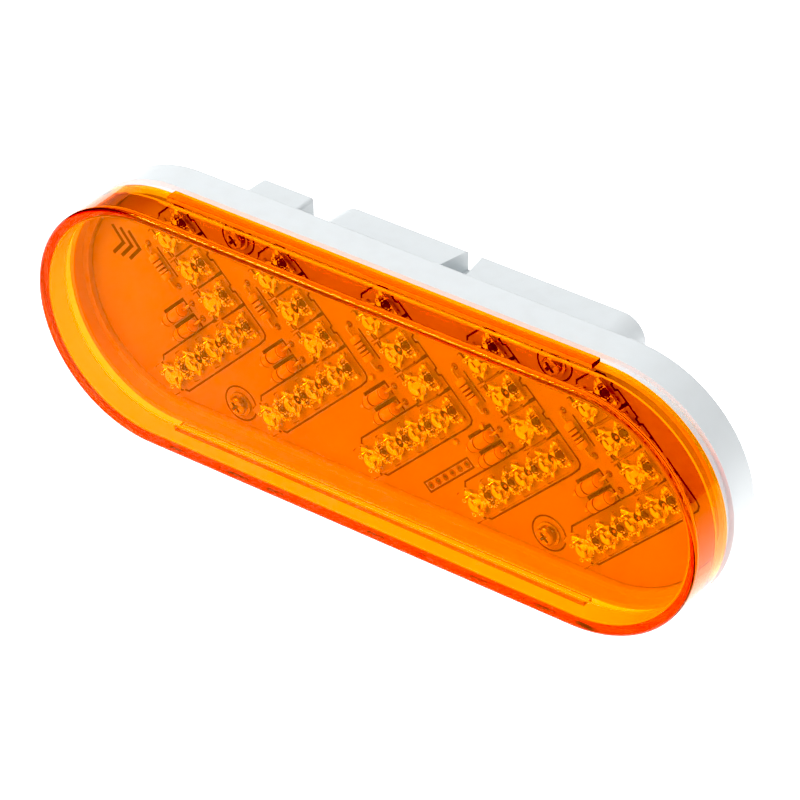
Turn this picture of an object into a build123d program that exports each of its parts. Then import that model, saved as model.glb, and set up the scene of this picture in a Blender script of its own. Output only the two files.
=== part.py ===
"""Oval 6 inch LED arrow lamp for a trailer.

An amber lens cup closes a shallow white tray. Five arrowheads of seven lights each stand on one board
inside, each with two rectifier diodes and a ballast resistor, and a plug socket with three contacts is
moulded into the tray's back.

Frame: +X along the lamp, +Y towards the trailer, +Z up. The origin is the centre of the plane in which
the back of the tray's rim seats. Millimetres.
"""

import os
from math import sqrt

from build123d import *

# ---------------------------------------------------------------- driving dimensions
lamp_length = 165.1  # 6.5 in over the rim
lamp_height = 57.15  # 2.25 in over the rim
lens_depth = 13.5  # how far the lens stands in front of the tray
box_depth = 12.0  # how far the rear box stands behind the rim

# lens
lens_inset = 0.05  # the lens edge stands this far inside the tray's outline
lens_draft = 0.4  # degrees
lens_face = 2.2
lens_wall = 2.1
lens_edge_radius = 0.9
ledge_length = 105.0  # locating ledges on the two straight sides
ledge_width = 3.0
ledge_rise = 1.0
rebate_depth = 3.0  # the lens's foot is cut back inside by this much, to pass over the tray's lip

# tray
lip_inset = 1.2  # from the tray's outline to the lip that the lens passes over
lip_width = 0.95
lip_clearance = 0.05
seal_thickness = 0.5  # between the lip's top and the end of the lens's rebate
shelf_width = 3.6  # from the tray's outline to the board's pocket
pocket_step = 1.2  # the ledge under the board's edge
board_room = 3.2  # from the board's back to the tray's floor
tray_floor = 2.0
rim_rear_radius = 0.8

# rear boxes
box_wall = 2.0
box_left = -28.0
box_right = 49.0
box_edge = 3.6  # from the lamp's top and bottom to the boxes
box_corner = 6.0
box_draft = 2.0  # degrees
side_block_left = -46.0
side_block_right = -32.0
side_block_depth = 10.0
side_block_corner = 1.2
box_rear_radius = 0.6
slot_centre_x = 7.0  # relief slot across the rear box's top and bottom edges
slot_wide = 8.0
slot_narrow = 3.5
slot_height = 5.0
slot_rib = 2.5  # wall left around the relief slot

# plug socket and contacts
socket_x = 9.5
socket_length = 38.0
socket_height = 19.0
socket_corner = 4.0
socket_wall = 2.0
socket_lip = 1.0
socket_floor_y = 0.6
contact_pitch = 11.0
contact_radius = 2.285  # 0.18 in across
contact_recess = 1.5  # the contacts' tips stand this far inside the socket's mouth
contact_shank_radius = 1.3
tail_radius = 0.6
tail_gap = 1.6  # from the tray floor to the middle of the tails' runs
tail_bend_radius = 0.7
tail_hole_clearance = 0.08
ground_hole_ahead = 7.05  # along the lamp, from the second arrowhead's corner light
ground_hole_up = 1.0
tail_hole_across = 5.87
tail_hole_gap = 1.36  # from the leads in front of it to the tail hole's middle
turn_hole_ahead = 8.3  # along the lamp, from the third arrowhead's corner light
potting_length = 34.0
potting_height = 14.0
potting_cover = 0.1  # resin over the tails' runs

# board
board_clearance = 0.3
board_thickness = 1.6
board_drop = 1.2  # the board's front lies this far behind the tray's front edge
screw_from_arm = 10.7  # along the lamp, from an arm's last light back to a board screw
screw_edge = 4.9  # from the board's long edges to the board screws
screw_hole_radius = 1.5
post_radius = 3.2
pilot_clearance = 0.4  # below the screw's end

# arrowheads
arrow_count = 5
arrow_front_room = 11.45  # from the board's end to the last arrowhead's corner light
arrow_rear_room = 23.75  # from the board's other end to the first arrowhead's outer lights
lights_per_arm = 3
light_gap = 0.46  # between neighbouring lights

# one light
light_width = 7.6
light_notch = 1.3
light_pad = 0.9  # gap between the board and the frame
frame_thickness = 0.5
light_body = 1.6
light_corner = 0.5
dome_radius = 2.2
dome_sink = 0.4
pin_pitch = 5.08
pin_width = 0.5
pin_hole_radius = 0.45
pin_proud = 0.7  # pin ends behind the board
eyelet_across = 3.5
eyelet_edge = 1.0  # from the light's edges to the eyelets, along the light
eyelet_radius = 0.52
eyelet_bore = 0.2
eyelet_proud = 0.1
eyelet_clearance = 0.03
eyelet_along = light_width - 2 * eyelet_edge
arm_width = 1.3
hub_radius = 1.25
window_radius = 0.75
die_size = 0.5
die_height = 0.25
die_pocket_radius = 0.9
die_pocket_depth = 0.55

# rectifier diodes, two along each arrowhead's lower arm
diode_body_radius = 1.35
diode_body_length = 6.5
diode_body_round = 0.35
diode_lead_span = 10.6
diode_row_share = 0.22  # of the free room between two arms, left before each row
diode_along = -14.45

# ballast resistors, one along each arrowhead's upper arm
resistor_radius = 0.85
resistor_cap_radius = 1.05
resistor_cap_length = 1.5
resistor_body_length = 6.0
resistor_body_round = 0.35
resistor_lead_span = 11.0
resistor_across = -20.3
resistor_row_share = 0.52  # of the free room between two arms, left before the resistor

# what both have
lead_radius = 0.32
lead_bend = 0.7
lead_hole_radius = 0.42
axial_standoff = 0.1

# programming pads
header_across = -7.5
header_behind = 5.6  # along the arm, from its last light back to the pads' middle
header_pitch = 2.54
header_count = 6
header_hole_radius = 0.5

# parts on the back of the board
back_gap = 0.35  # from a lead hole to the part behind it
chip_width = 3.9
chip_height = 1.45
chip_standoff = 0.12
chip_edge = 0.25
leg_pitch = 1.27
leg_width = 0.42
leg_thickness = 0.2
leg_reach = 1.05
controller_length = 8.7
controller_legs = 7
diode_length = 4.6
diode_width = 3.6
diode_height = 2.1
suppressor_length = 7.0
suppressor_width = 5.9
suppressor_height = 2.4
tab_reach = 1.0
tab_thickness = 0.3
tab_share = 0.5  # a terminal's width as a share of its part's
capacitor_radius = 3.15
capacitor_clearance = 0.3  # from its top to the tray's floor
capacitor_groove_height = 0.8
capacitor_groove_depth = 0.25
capacitor_lead_spacing = 2.5

# screws
screw_shank_radius = 1.2
screw_flange_radius = 2.75
screw_flange = 0.5
screw_head_radius = 2.1
screw_head = 1.4
screw_head_round = 0.6
screw_recess = 1.0
screw_recess_length = 2.6
screw_recess_width = 0.7
screw_length = 4.6

# ---------------------------------------------------------------- worked-out places
slant = sqrt(0.5)
tray_depth = board_drop + board_thickness + board_room + tray_floor  # the white rim, front to back
lens_back_y = -tray_depth
board_front_y = lens_back_y + board_drop
board_back_y = board_front_y + board_thickness
floor_y = -tray_floor
lip_height = rebate_depth - seal_thickness
box_height = lamp_height - 2 * box_edge
box_middle_x = (box_left + box_right) / 2
box_length = box_right - box_left
side_block_x = (side_block_left + side_block_right) / 2
side_block_length = side_block_right - side_block_left
board_inset = shelf_width + board_clearance
frame_top = light_pad + frame_thickness
body_top = frame_top + light_body
contact_xs = [socket_x + n * contact_pitch for n in (-1, 0, 1)]
tail_y = floor_y - tail_gap

board_end_x = lamp_length / 2 - board_inset
light_pitch = light_width + light_gap
arm_reach = lights_per_arm * light_pitch * slant
first_corner_x = arm_reach + arrow_rear_room - board_end_x
last_corner_x = board_end_x - arrow_front_room
arrow_pitch = (last_corner_x - first_corner_x) / (arrow_count - 1)
arm_pitch = arrow_pitch * slant  # between the same arms of two neighbouring arrowheads
arm_room = arm_pitch - light_width  # free width between two arrowheads' arms
diode_free = arm_room - 4 * diode_body_radius
diode_row_1 = -(light_width / 2 + diode_row_share * diode_free + diode_body_radius)
diode_row_2 = diode_row_1 - diode_row_share * diode_free - 2 * diode_body_radius
resistor_free = arm_room - 2 * resistor_cap_radius
resistor_along = -(light_width / 2 + resistor_row_share * resistor_free + resistor_cap_radius)
diode_leads_end = diode_along + arm_pitch - diode_lead_span / 2  # the next arrowhead's diode leads
behind_leads = diode_leads_end - lead_hole_radius - back_gap
capacitor_height = board_room - capacitor_clearance
screw_z = lamp_height / 2 - board_inset - screw_edge

os.makedirs("parts", exist_ok=True)


def front_plane(y):
    """The plane across the lamp at depth y, seen from the front: its normal points out of the lens."""
    return Plane(origin=(0, y, 0), x_dir=(1, 0, 0), z_dir=(0, -1, 0))


def slanted_plane(x, z, y=board_front_y, out=-1):
    """A plane on the board at x, z, turned so that its own x runs up an arrowhead's lower arm.

    out is -1 for the board's front and 1 for its back.
    """
    return Plane(origin=(x, y, z), x_dir=(slant, 0, slant), z_dir=(0, out, 0))


def oval(inset):
    """The lamp's outline as a sketch, taken in by inset."""
    return SlotOverall(lamp_length - 2 * inset, lamp_height - 2 * inset)


def oval_ring(inset, width):
    """A ring of the lamp's shape as a sketch, taken in by inset at its outer side."""
    oval(inset)
    SlotOverall(lamp_length - 2 * (inset + width), lamp_height - 2 * (inset + width), mode=Mode.SUBTRACT)


def arrow_corner(arrow):
    """The x of an arrowhead's corner light, which lies on z = 0."""
    return first_corner_x + arrow * arrow_pitch


def on_arrow(arrow, across, along):
    """The (x, z) of a place given from an arrowhead's corner light.

    across is measured along the upper arm and along is measured along the lower arm, both negative inwards.
    """
    return arrow_corner(arrow) + slant * (across + along), slant * (along - across)


def light_places(arrow):
    """The (x, z) of each light of an arrowhead: its upper arm, its corner and its lower arm."""
    upper = [on_arrow(arrow, -n * light_pitch, 0) for n in range(lights_per_arm, 0, -1)]
    lower = [on_arrow(arrow, 0, -n * light_pitch) for n in range(lights_per_arm + 1)]
    return upper + lower


def axial_seats(places, turned):
    """The seats of parts with wire ends, along the lower arms or, when turned, along the upper arms."""
    x_dir = (-slant, 0, slant) if turned else (slant, 0, slant)
    return [Plane(origin=(x, board_front_y, z), x_dir=x_dir, z_dir=(0, -1, 0)) for x, z in places]


def lead_holes(places, span, turned):
    """The (x, z) of the two board holes of each part with wire ends."""
    run_x = -slant if turned else slant
    return [(x + end * run_x * span / 2, z + end * slant * span / 2) for x, z in places for end in (-1, 1)]


def write(built, name):
    """Labels a finished piece and writes it as one STEP file."""
    built.part.label = name
    export_step(built.part, f"parts/{name}.step")


diode_rows = (diode_row_1, diode_row_2)
diode_places = [on_arrow(arrow, row, diode_along) for arrow in range(arrow_count) for row in diode_rows]
resistor_places = [on_arrow(arrow, resistor_across, resistor_along) for arrow in range(arrow_count)]
screw_xs = [arrow_corner(arrow) - arm_reach - screw_from_arm for arrow in (1, arrow_count - 1)]
post_places = [(x, z) for x in screw_xs for z in (-screw_z, screw_z)]
tail_holes = [
    (arrow_corner(1) + ground_hole_ahead, ground_hole_up),
    on_arrow(2, tail_hole_across, behind_leads - tail_hole_gap),
    (arrow_corner(2) + turn_hole_ahead, 0),
]


# ---------------------------------------------------------------- lens
with BuildPart() as lens:
    with BuildSketch(front_plane(lens_back_y)):
        oval(lens_inset)
    extrude(amount=lens_depth, taper=lens_draft)
    fillet(lens.edges().group_by(Axis.Y)[0], lens_edge_radius)
    with BuildSketch(front_plane(lens_back_y)):
        Rectangle(ledge_length, lamp_height + 2 * ledge_rise)
    extrude(amount=ledge_width)
    with BuildSketch(front_plane(lens_back_y)):
        oval(lens_inset + lens_wall)
    extrude(amount=lens_depth - lens_face, taper=lens_draft, mode=Mode.SUBTRACT)
    with BuildSketch(front_plane(lens_back_y)):
        oval(lip_inset - lip_clearance)
    extrude(amount=rebate_depth, mode=Mode.SUBTRACT)
write(lens, "lens")

# ---------------------------------------------------------------- seal between the tray's lip and the lens
with BuildPart() as lens_seal:
    with BuildSketch(front_plane(lens_back_y - lip_height)):
        oval_ring(lip_inset, lip_width)
    extrude(amount=seal_thickness)
write(lens_seal, "lens_seal")

# ---------------------------------------------------------------- housing
slot_walled_wide = slot_wide + 2 * slot_rib
slot_walled_height = slot_height + slot_rib
with BuildPart() as housing:
    # the tray's rim and the boxes behind it
    with BuildSketch(front_plane(0)):
        oval(0)
    extrude(amount=tray_depth)
    fillet(housing.edges().group_by(Axis.Y)[-1], rim_rear_radius)
    with BuildSketch(front_plane(0)):
        with Locations((side_block_x, 0)):
            RectangleRounded(side_block_length, box_height, side_block_corner)
    extrude(amount=-side_block_depth, taper=box_draft)
    fillet(housing.edges().group_by(Axis.Y)[-1], box_rear_radius)
    with BuildSketch(front_plane(0)):
        with Locations((box_middle_x, 0)):
            RectangleRounded(box_length, box_height, box_corner)
    extrude(amount=-box_depth, taper=box_draft)
    fillet(housing.edges().group_by(Axis.Y)[-1], box_rear_radius)
    # relief slots across the box's top and bottom
    for side in (-1, 1):
        with BuildSketch(Plane.XY.offset(side * (box_height / 2 - slot_height))):
            with BuildLine():
                Polyline(
                    (slot_centre_x - slot_wide / 2, 0),
                    (slot_centre_x + slot_wide / 2, 0),
                    (slot_centre_x + slot_narrow / 2, box_depth),
                    (slot_centre_x - slot_narrow / 2, box_depth),
                    close=True,
                )
            make_face()
        extrude(amount=side * slot_height, mode=Mode.SUBTRACT)
    # pocket for the board, its ledge, and the hollows of the boxes
    with BuildSketch(front_plane(lens_back_y)):
        oval(shelf_width)
    extrude(amount=-(board_back_y - lens_back_y), mode=Mode.SUBTRACT)
    with BuildSketch(front_plane(board_back_y)):
        oval(shelf_width + pocket_step)
    extrude(amount=-(floor_y - board_back_y), mode=Mode.SUBTRACT)
    with BuildSketch(front_plane(floor_y)):
        with Locations((box_middle_x, 0)):
            RectangleRounded(box_length - 2 * box_wall, box_height - 2 * box_wall, box_corner - box_wall)
        with Locations((slot_centre_x, box_height / 2), (slot_centre_x, -box_height / 2)):
            Rectangle(slot_walled_wide, 2 * slot_walled_height, mode=Mode.SUBTRACT)
    extrude(amount=-(box_depth + tray_floor - box_wall), taper=box_draft, mode=Mode.SUBTRACT)
    with BuildSketch(front_plane(floor_y)):
        with Locations((side_block_x, 0)):
            Rectangle(side_block_length - 2 * box_wall, box_height - 2 * box_wall)
    extrude(amount=-(side_block_depth + tray_floor - box_wall), taper=box_draft, mode=Mode.SUBTRACT)
    # screw posts up to the board, the left pair from the side block's back wall and the right pair from the box's
    with BuildSketch(front_plane(board_back_y)):
        with Locations(*post_places[:2]):
            Circle(post_radius)
    extrude(amount=-(side_block_depth - box_wall - board_back_y))
    with BuildSketch(front_plane(board_back_y)):
        with Locations(*post_places[2:]):
            Circle(post_radius)
    extrude(amount=-(box_depth - box_wall - board_back_y))
    with BuildSketch(front_plane(board_back_y)):
        with Locations(*post_places):
            Circle(screw_shank_radius)
    extrude(amount=-(screw_length + pilot_clearance), mode=Mode.SUBTRACT)
    # plug socket
    with BuildSketch(front_plane(floor_y)):
        with Locations((socket_x, 0)):
            RectangleRounded(
                socket_length + 2 * socket_wall, socket_height + 2 * socket_wall, socket_corner + socket_wall
            )
    extrude(amount=-(box_depth + tray_floor + socket_lip))
    with BuildSketch(front_plane(socket_floor_y)):
        with Locations((socket_x, 0)):
            RectangleRounded(socket_length, socket_height, socket_corner)
    extrude(amount=-(box_depth + socket_lip - socket_floor_y), mode=Mode.SUBTRACT)
    with BuildSketch(front_plane(socket_floor_y)):
        with Locations(*[(x, 0) for x in contact_xs]):
            Circle(contact_shank_radius)
    extrude(amount=socket_floor_y - floor_y, mode=Mode.SUBTRACT)
    # lip inside the lens's foot
    with BuildSketch(front_plane(lens_back_y)):
        oval_ring(lip_inset, lip_width)
    extrude(amount=lip_height)
write(housing, "housing")

# ---------------------------------------------------------------- contacts: a round pin, a shank and a bent tail
contact_length = box_depth + socket_lip - contact_recess - socket_floor_y
contact_names = ("ground_contact", "tail_contact", "turn_contact")
contacts = []
for contact_x, (hole_x, hole_z), contact_name in zip(contact_xs, tail_holes, contact_names):
    with BuildPart() as contact:
        with BuildSketch(front_plane(socket_floor_y)):
            with Locations((contact_x, 0)):
                Circle(contact_radius)
        extrude(amount=-contact_length)
        tip = contact.edges().group_by(Axis.Y)[-1]
        chamfer(tip, contact_radius / 4)
        with BuildSketch(front_plane(floor_y)):
            with Locations((contact_x, 0)):
                Circle(contact_shank_radius)
        extrude(amount=-(socket_floor_y - floor_y))
        with BuildLine() as tail_path:
            FilletPolyline(
                (contact_x, floor_y, 0),
                (contact_x, tail_y, 0),
                (hole_x, tail_y, hole_z),
                (hole_x, board_front_y - pin_proud, hole_z),
                radius=tail_bend_radius,
            )
        with BuildSketch(Plane(origin=tail_path.line @ 0, z_dir=tail_path.line % 0)):
            Circle(tail_radius)
        sweep()
    write(contact, contact_name)
    contacts.append(contact)

# resin over the tails where they leave the socket's floor
with BuildPart() as contact_potting:
    with BuildSketch(front_plane(floor_y)):
        with Locations((socket_x, 0)):
            RectangleRounded(potting_length, potting_height, socket_corner)
    extrude(amount=tail_gap + tail_radius + potting_cover)
    for contact in contacts:
        add(contact.part, mode=Mode.SUBTRACT)
write(contact_potting, "contact_potting")

# ---------------------------------------------------------------- board
pin_offsets = [(x, y) for x in (-pin_pitch / 2, pin_pitch / 2) for y in (-pin_pitch / 2, pin_pitch / 2)]
pin_places = [
    (x + slant * (px - py), z + slant * (px + py))
    for arrow in range(arrow_count)
    for x, z in light_places(arrow)
    for px, py in pin_offsets
]
header_places = [
    on_arrow(arrow_count - 2, header_across, n * header_pitch - lights_per_arm * light_pitch - header_behind)
    for n in [index - (header_count - 1) / 2 for index in range(header_count)]
]
capacitor_x, capacitor_z = resistor_places[-1]
capacitor_leads = [
    on_arrow(arrow_count - 1, resistor_across, resistor_along + side * capacitor_lead_spacing / 2)
    for side in (-1, 1)
]
with BuildPart() as circuit_board:
    with BuildSketch(front_plane(board_back_y)):
        oval(board_inset)
        with Locations(*post_places):
            Circle(screw_hole_radius, mode=Mode.SUBTRACT)
        with Locations(*pin_places):
            Circle(pin_hole_radius, mode=Mode.SUBTRACT)
        with Locations(*lead_holes(diode_places, diode_lead_span, False)):
            Circle(lead_hole_radius, mode=Mode.SUBTRACT)
        with Locations(*lead_holes(resistor_places, resistor_lead_span, True)):
            Circle(lead_hole_radius, mode=Mode.SUBTRACT)
        with Locations(*(header_places + capacitor_leads)):
            Circle(header_hole_radius, mode=Mode.SUBTRACT)
        with Locations(*tail_holes):
            Circle(tail_radius + tail_hole_clearance, mode=Mode.SUBTRACT)
    extrude(amount=board_thickness)
write(circuit_board, "circuit_board")

# ---------------------------------------------------------------- one light, then every arrowhead's seven
eyelet_reach = eyelet_across / 2
eyelet_places = [(x, y) for x in (-eyelet_along / 2, eyelet_along / 2) for y in (-eyelet_reach, eyelet_reach)]
with BuildPart() as light_frame:
    with BuildSketch(Plane.XY.offset(light_pad)):
        Circle(hub_radius)
        with Locations(Rotation(0, 0, 45), Rotation(0, 0, 135)):
            SlotOverall(pin_pitch * sqrt(2) + arm_width, arm_width)
        with Locations((-eyelet_along / 4, 0), (eyelet_along / 4, 0)):
            Rectangle(eyelet_along / 2, arm_width)
        with Locations((-eyelet_along / 2, 0), (eyelet_along / 2, 0)):
            SlotOverall(eyelet_across + 2 * eyelet_radius, 2 * eyelet_radius, rotation=90)
        with Locations((eyelet_along / 4, 0)):
            RegularPolygon(window_radius, 4, rotation=45, mode=Mode.SUBTRACT)
    extrude(amount=frame_thickness)
    with BuildSketch(Plane.XY.offset(light_pad)):
        with Locations(*pin_offsets):
            Rectangle(pin_width, pin_width)
    extrude(amount=-(light_pad + board_thickness + pin_proud))
    with BuildSketch(Plane.XY.offset(frame_top)):
        with Locations(*eyelet_places):
            Circle(eyelet_radius)
            Circle(eyelet_bore, mode=Mode.SUBTRACT)
    extrude(amount=light_body + eyelet_proud)

with BuildPart() as light_body_part:
    with BuildSketch(Plane.XY.offset(frame_top)):
        RectangleRounded(light_width, light_width, light_corner)
        with Locations((light_width / 2, 0)):
            Circle(light_notch / 2, mode=Mode.SUBTRACT)
        with Locations(*eyelet_places):
            Circle(eyelet_radius + eyelet_clearance, mode=Mode.SUBTRACT)
    extrude(amount=light_body)
    with Locations((0, 0, body_top - dome_sink)):
        Sphere(dome_radius, arc_size1=0)
    with BuildSketch(Plane.XY.offset(frame_top)):
        Circle(die_pocket_radius)
    extrude(amount=die_pocket_depth, mode=Mode.SUBTRACT)

with BuildPart() as light_die:
    with BuildSketch(Plane.XY.offset(frame_top)):
        Rectangle(die_size, die_size)
    extrude(amount=die_height)

for arrow in range(arrow_count):
    seats = [slanted_plane(x, z) for x, z in light_places(arrow)]
    with BuildPart() as arrow_bodies:
        with Locations(*seats):
            add(light_body_part.part)
    write(arrow_bodies, f"light_bodies_{arrow + 1}")
    with BuildPart() as arrow_frames:
        with Locations(*seats):
            add(light_frame.part)
    write(arrow_frames, f"light_frames_{arrow + 1}")
    with BuildPart() as arrow_dies:
        with Locations(*seats):
            add(light_die.part)
    write(arrow_dies, f"light_dies_{arrow + 1}")


# ---------------------------------------------------------------- parts with wire ends
def axial_leads(body_length, span, height):
    """The two wire ends of a part lying along its own x, from its body's ends through the board."""
    with BuildPart() as leads:
        for end in (-1, 1):
            with BuildLine() as path:
                FilletPolyline(
                    (end * body_length / 2, 0, height),
                    (end * span / 2, 0, height),
                    (end * span / 2, 0, -(board_thickness + pin_proud)),
                    radius=lead_bend,
                )
            with BuildSketch(Plane(origin=path.line @ 0, z_dir=path.line % 0)):
                Circle(lead_radius)
            sweep()
    return leads.part


def round_ends(body, radius):
    """Rounds the outermost edges of a body that lies along x."""
    rims = body.edges().filter_by(GeomType.CIRCLE).group_by(Axis.X)
    fillet(rims[0] + rims[-1], radius)


diode_height_above = diode_body_radius + axial_standoff
with BuildPart() as diode_body:
    with BuildSketch(Plane.YZ.offset(-diode_body_length / 2)):
        with Locations((0, diode_height_above)):
            Circle(diode_body_radius)
    extrude(amount=diode_body_length)
    round_ends(diode_body, diode_body_round)
with BuildPart() as rectifier_diodes:
    with Locations(*axial_seats(diode_places, False)):
        add(diode_body.part)
write(rectifier_diodes, "rectifier_diodes")
diode_leads = axial_leads(diode_body_length, diode_lead_span, diode_height_above)
with BuildPart() as rectifier_diode_leads:
    with Locations(*axial_seats(diode_places, False)):
        add(diode_leads)
write(rectifier_diode_leads, "rectifier_diode_leads")

resistor_height_above = resistor_cap_radius + axial_standoff
with BuildPart() as resistor_body:
    with BuildSketch(Plane.YZ.offset(-resistor_body_length / 2)):
        with Locations((0, resistor_height_above)):
            Circle(resistor_radius)
    extrude(amount=resistor_body_length)
    for end in (-1, 1):
        with BuildSketch(Plane.YZ.offset(end * resistor_body_length / 2)):
            with Locations((0, resistor_height_above)):
                Circle(resistor_cap_radius)
        extrude(amount=-end * resistor_cap_length)
    round_ends(resistor_body, resistor_body_round)
with BuildPart() as ballast_resistors:
    with Locations(*axial_seats(resistor_places, True)):
        add(resistor_body.part)
write(ballast_resistors, "ballast_resistors")
resistor_leads = axial_leads(resistor_body_length, resistor_lead_span, resistor_height_above)
with BuildPart() as ballast_resistor_leads:
    with Locations(*axial_seats(resistor_places, True)):
        add(resistor_leads)
write(ballast_resistor_leads, "ballast_resistor_leads")


# ---------------------------------------------------------------- controller chip, on the board's back
def chip_body(length):
    """A moulded chip body lying along its own y, seated on z = 0."""
    with BuildPart() as body:
        with BuildSketch(Plane.XY.offset(chip_standoff)):
            Rectangle(chip_width, length)
        extrude(amount=chip_height)
        chamfer(body.edges().group_by(Axis.Z)[-1], chip_edge)
    return body.part


def chip_legs(count):
    """The two rows of bent legs of a chip."""
    mid = chip_standoff + chip_height / 2
    knee = chip_width / 2 + leg_reach / 3
    toe = chip_width / 2 + leg_reach
    with BuildPart() as legs:
        for side in (-1, 1):
            with BuildSketch(Plane.XZ.offset(-leg_width / 2)):
                with BuildLine():
                    Polyline(
                        (side * chip_width / 2, mid),
                        (side * chip_width / 2, mid - leg_thickness),
                        (side * (knee - leg_thickness), mid - leg_thickness),
                        (side * (knee - leg_thickness), 0),
                        (side * toe, 0),
                        (side * toe, leg_thickness),
                        (side * knee, leg_thickness),
                        (side * knee, mid),
                        close=True,
                    )
                make_face()
            extrude(amount=leg_width)
    leg_pair = legs.part
    with BuildPart() as rows:
        with Locations(*[(0, (n - (count - 1) / 2) * leg_pitch, 0) for n in range(count)]):
            add(leg_pair)
    return rows.part


controller_x, controller_z = on_arrow(arrow_count - 2, arm_pitch / 2, behind_leads - controller_length / 2)
controller_seat = Plane(
    origin=(controller_x, board_back_y, controller_z), x_dir=(-slant, 0, slant), z_dir=(0, 1, 0)
)
controller_body = chip_body(controller_length)
controller_leg_rows = chip_legs(controller_legs)
with BuildPart() as controller_chip:
    with Locations(controller_seat):
        add(controller_body)
write(controller_chip, "controller_chip")
with BuildPart() as controller_chip_legs:
    with Locations(controller_seat):
        add(controller_leg_rows)
write(controller_chip_legs, "controller_chip_legs")


# ---------------------------------------------------------------- power parts on the back of the board
def block_diode(length, width, height, seat):
    """A moulded two-terminal block and its two folded terminals, on the board at seat."""
    with BuildPart() as block:
        with Locations(seat):
            Box(length, width, height - tab_thickness, align=(Align.CENTER, Align.CENTER, Align.MIN))
    body = block.part.moved(Location(Vector(0, tab_thickness, 0)))
    with BuildPart() as tabs:
        with Locations(seat):
            with Locations((-length / 2, 0), (length / 2, 0)):
                Box(
                    2 * tab_reach,
                    width * tab_share,
                    tab_thickness,
                    align=(Align.CENTER, Align.CENTER, Align.MIN),
                )
    return body, tabs.part


polarity_x, polarity_z = resistor_places[1]
suppressor_reach = suppressor_length / 2 + tab_reach
suppressor_place = on_arrow(0, arm_pitch / 2, behind_leads - suppressor_reach)
polarity_seat = Plane(
    origin=(polarity_x, board_back_y, polarity_z), x_dir=(-slant, 0, slant), z_dir=(0, 1, 0)
)
suppressor_seat = slanted_plane(*suppressor_place, board_back_y, 1)
back_parts = (
    ("polarity_diode", diode_length, diode_width, diode_height, polarity_seat),
    ("surge_suppressor", suppressor_length, suppressor_width, suppressor_height, suppressor_seat),
)
for part_name, length, width, height, seat in back_parts:
    body, tabs = block_diode(length, width, height, seat)
    with BuildPart() as diode:
        add(body)
    write(diode, part_name)
    with BuildPart() as diode_tabs:
        add(tabs)
    write(diode_tabs, f"{part_name}_tabs")

with BuildPart() as filter_capacitor:
    with BuildSketch(Plane(origin=(capacitor_x, board_back_y, capacitor_z), z_dir=(0, 1, 0))):
        Circle(capacitor_radius)
    extrude(amount=capacitor_height)
    groove_y = board_back_y + capacitor_groove_height
    with BuildSketch(Plane(origin=(capacitor_x, groove_y, capacitor_z), z_dir=(0, 1, 0))):
        Circle(capacitor_radius)
        Circle(capacitor_radius - capacitor_groove_depth, mode=Mode.SUBTRACT)
    extrude(amount=capacitor_groove_depth * 2, mode=Mode.SUBTRACT)
write(filter_capacitor, "filter_capacitor")
with BuildPart() as capacitor_pins:
    with BuildSketch(front_plane(board_back_y)):
        with Locations(*capacitor_leads):
            Circle(lead_radius)
    extrude(amount=board_thickness + pin_proud)
write(capacitor_pins, "filter_capacitor_leads")

# ---------------------------------------------------------------- board screws
with BuildPart() as screw:
    with BuildSketch():
        Circle(screw_flange_radius)
    extrude(amount=screw_flange)
    with BuildSketch(Plane.XY.offset(screw_flange)):
        Circle(screw_head_radius)
    extrude(amount=screw_head)
    fillet(screw.edges().group_by(Axis.Z)[-1], screw_head_round)
    with BuildSketch():
        Circle(screw_shank_radius)
    extrude(amount=-(board_thickness + screw_length))
    with BuildSketch(Plane.XY.offset(screw_flange + screw_head)):
        Rectangle(screw_recess_length, screw_recess_width)
        Rectangle(screw_recess_width, screw_recess_length)
    extrude(amount=-screw_recess, mode=Mode.SUBTRACT)
screw_seats = [
    Plane(origin=(x, board_front_y, z), x_dir=(slant, 0, slant), z_dir=(0, -1, 0))
    for x, z in post_places
]
with BuildPart() as board_screws:
    with Locations(*screw_seats):
        add(screw.part)
write(board_screws, "board_screws")
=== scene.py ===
"""Looks of an oval amber trailer lamp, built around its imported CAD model.

The CAD model holds every size and place. This script dresses its nodes with finishes, and replaces the ones
whose shape needs more than CAD gave them: the lens, the tray, the lights, the parts with wire ends and the
screws. Board parts are modelled face up at the origin, with z as height above the board, and then set in
place.
"""

import logging
import math
from collections.abc import Callable
from dataclasses import dataclass, field
from enum import Enum
from typing import ClassVar

import bpy
from mathutils import Matrix, Vector

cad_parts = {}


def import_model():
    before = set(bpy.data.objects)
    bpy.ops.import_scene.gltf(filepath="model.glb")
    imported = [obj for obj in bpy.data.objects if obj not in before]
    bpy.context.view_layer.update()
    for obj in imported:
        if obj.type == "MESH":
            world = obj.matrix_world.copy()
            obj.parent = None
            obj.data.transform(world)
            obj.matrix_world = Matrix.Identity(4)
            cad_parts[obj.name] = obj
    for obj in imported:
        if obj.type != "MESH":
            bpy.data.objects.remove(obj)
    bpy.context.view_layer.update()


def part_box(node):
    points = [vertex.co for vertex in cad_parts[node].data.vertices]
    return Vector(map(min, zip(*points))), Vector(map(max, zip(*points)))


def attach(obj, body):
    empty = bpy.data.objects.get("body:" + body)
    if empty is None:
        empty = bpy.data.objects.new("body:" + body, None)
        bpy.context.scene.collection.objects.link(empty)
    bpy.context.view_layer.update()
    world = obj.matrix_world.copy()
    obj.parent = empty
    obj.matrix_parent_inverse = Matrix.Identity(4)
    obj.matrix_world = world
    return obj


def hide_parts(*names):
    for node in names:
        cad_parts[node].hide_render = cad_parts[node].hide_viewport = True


log = logging.getLogger("lamp")

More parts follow.
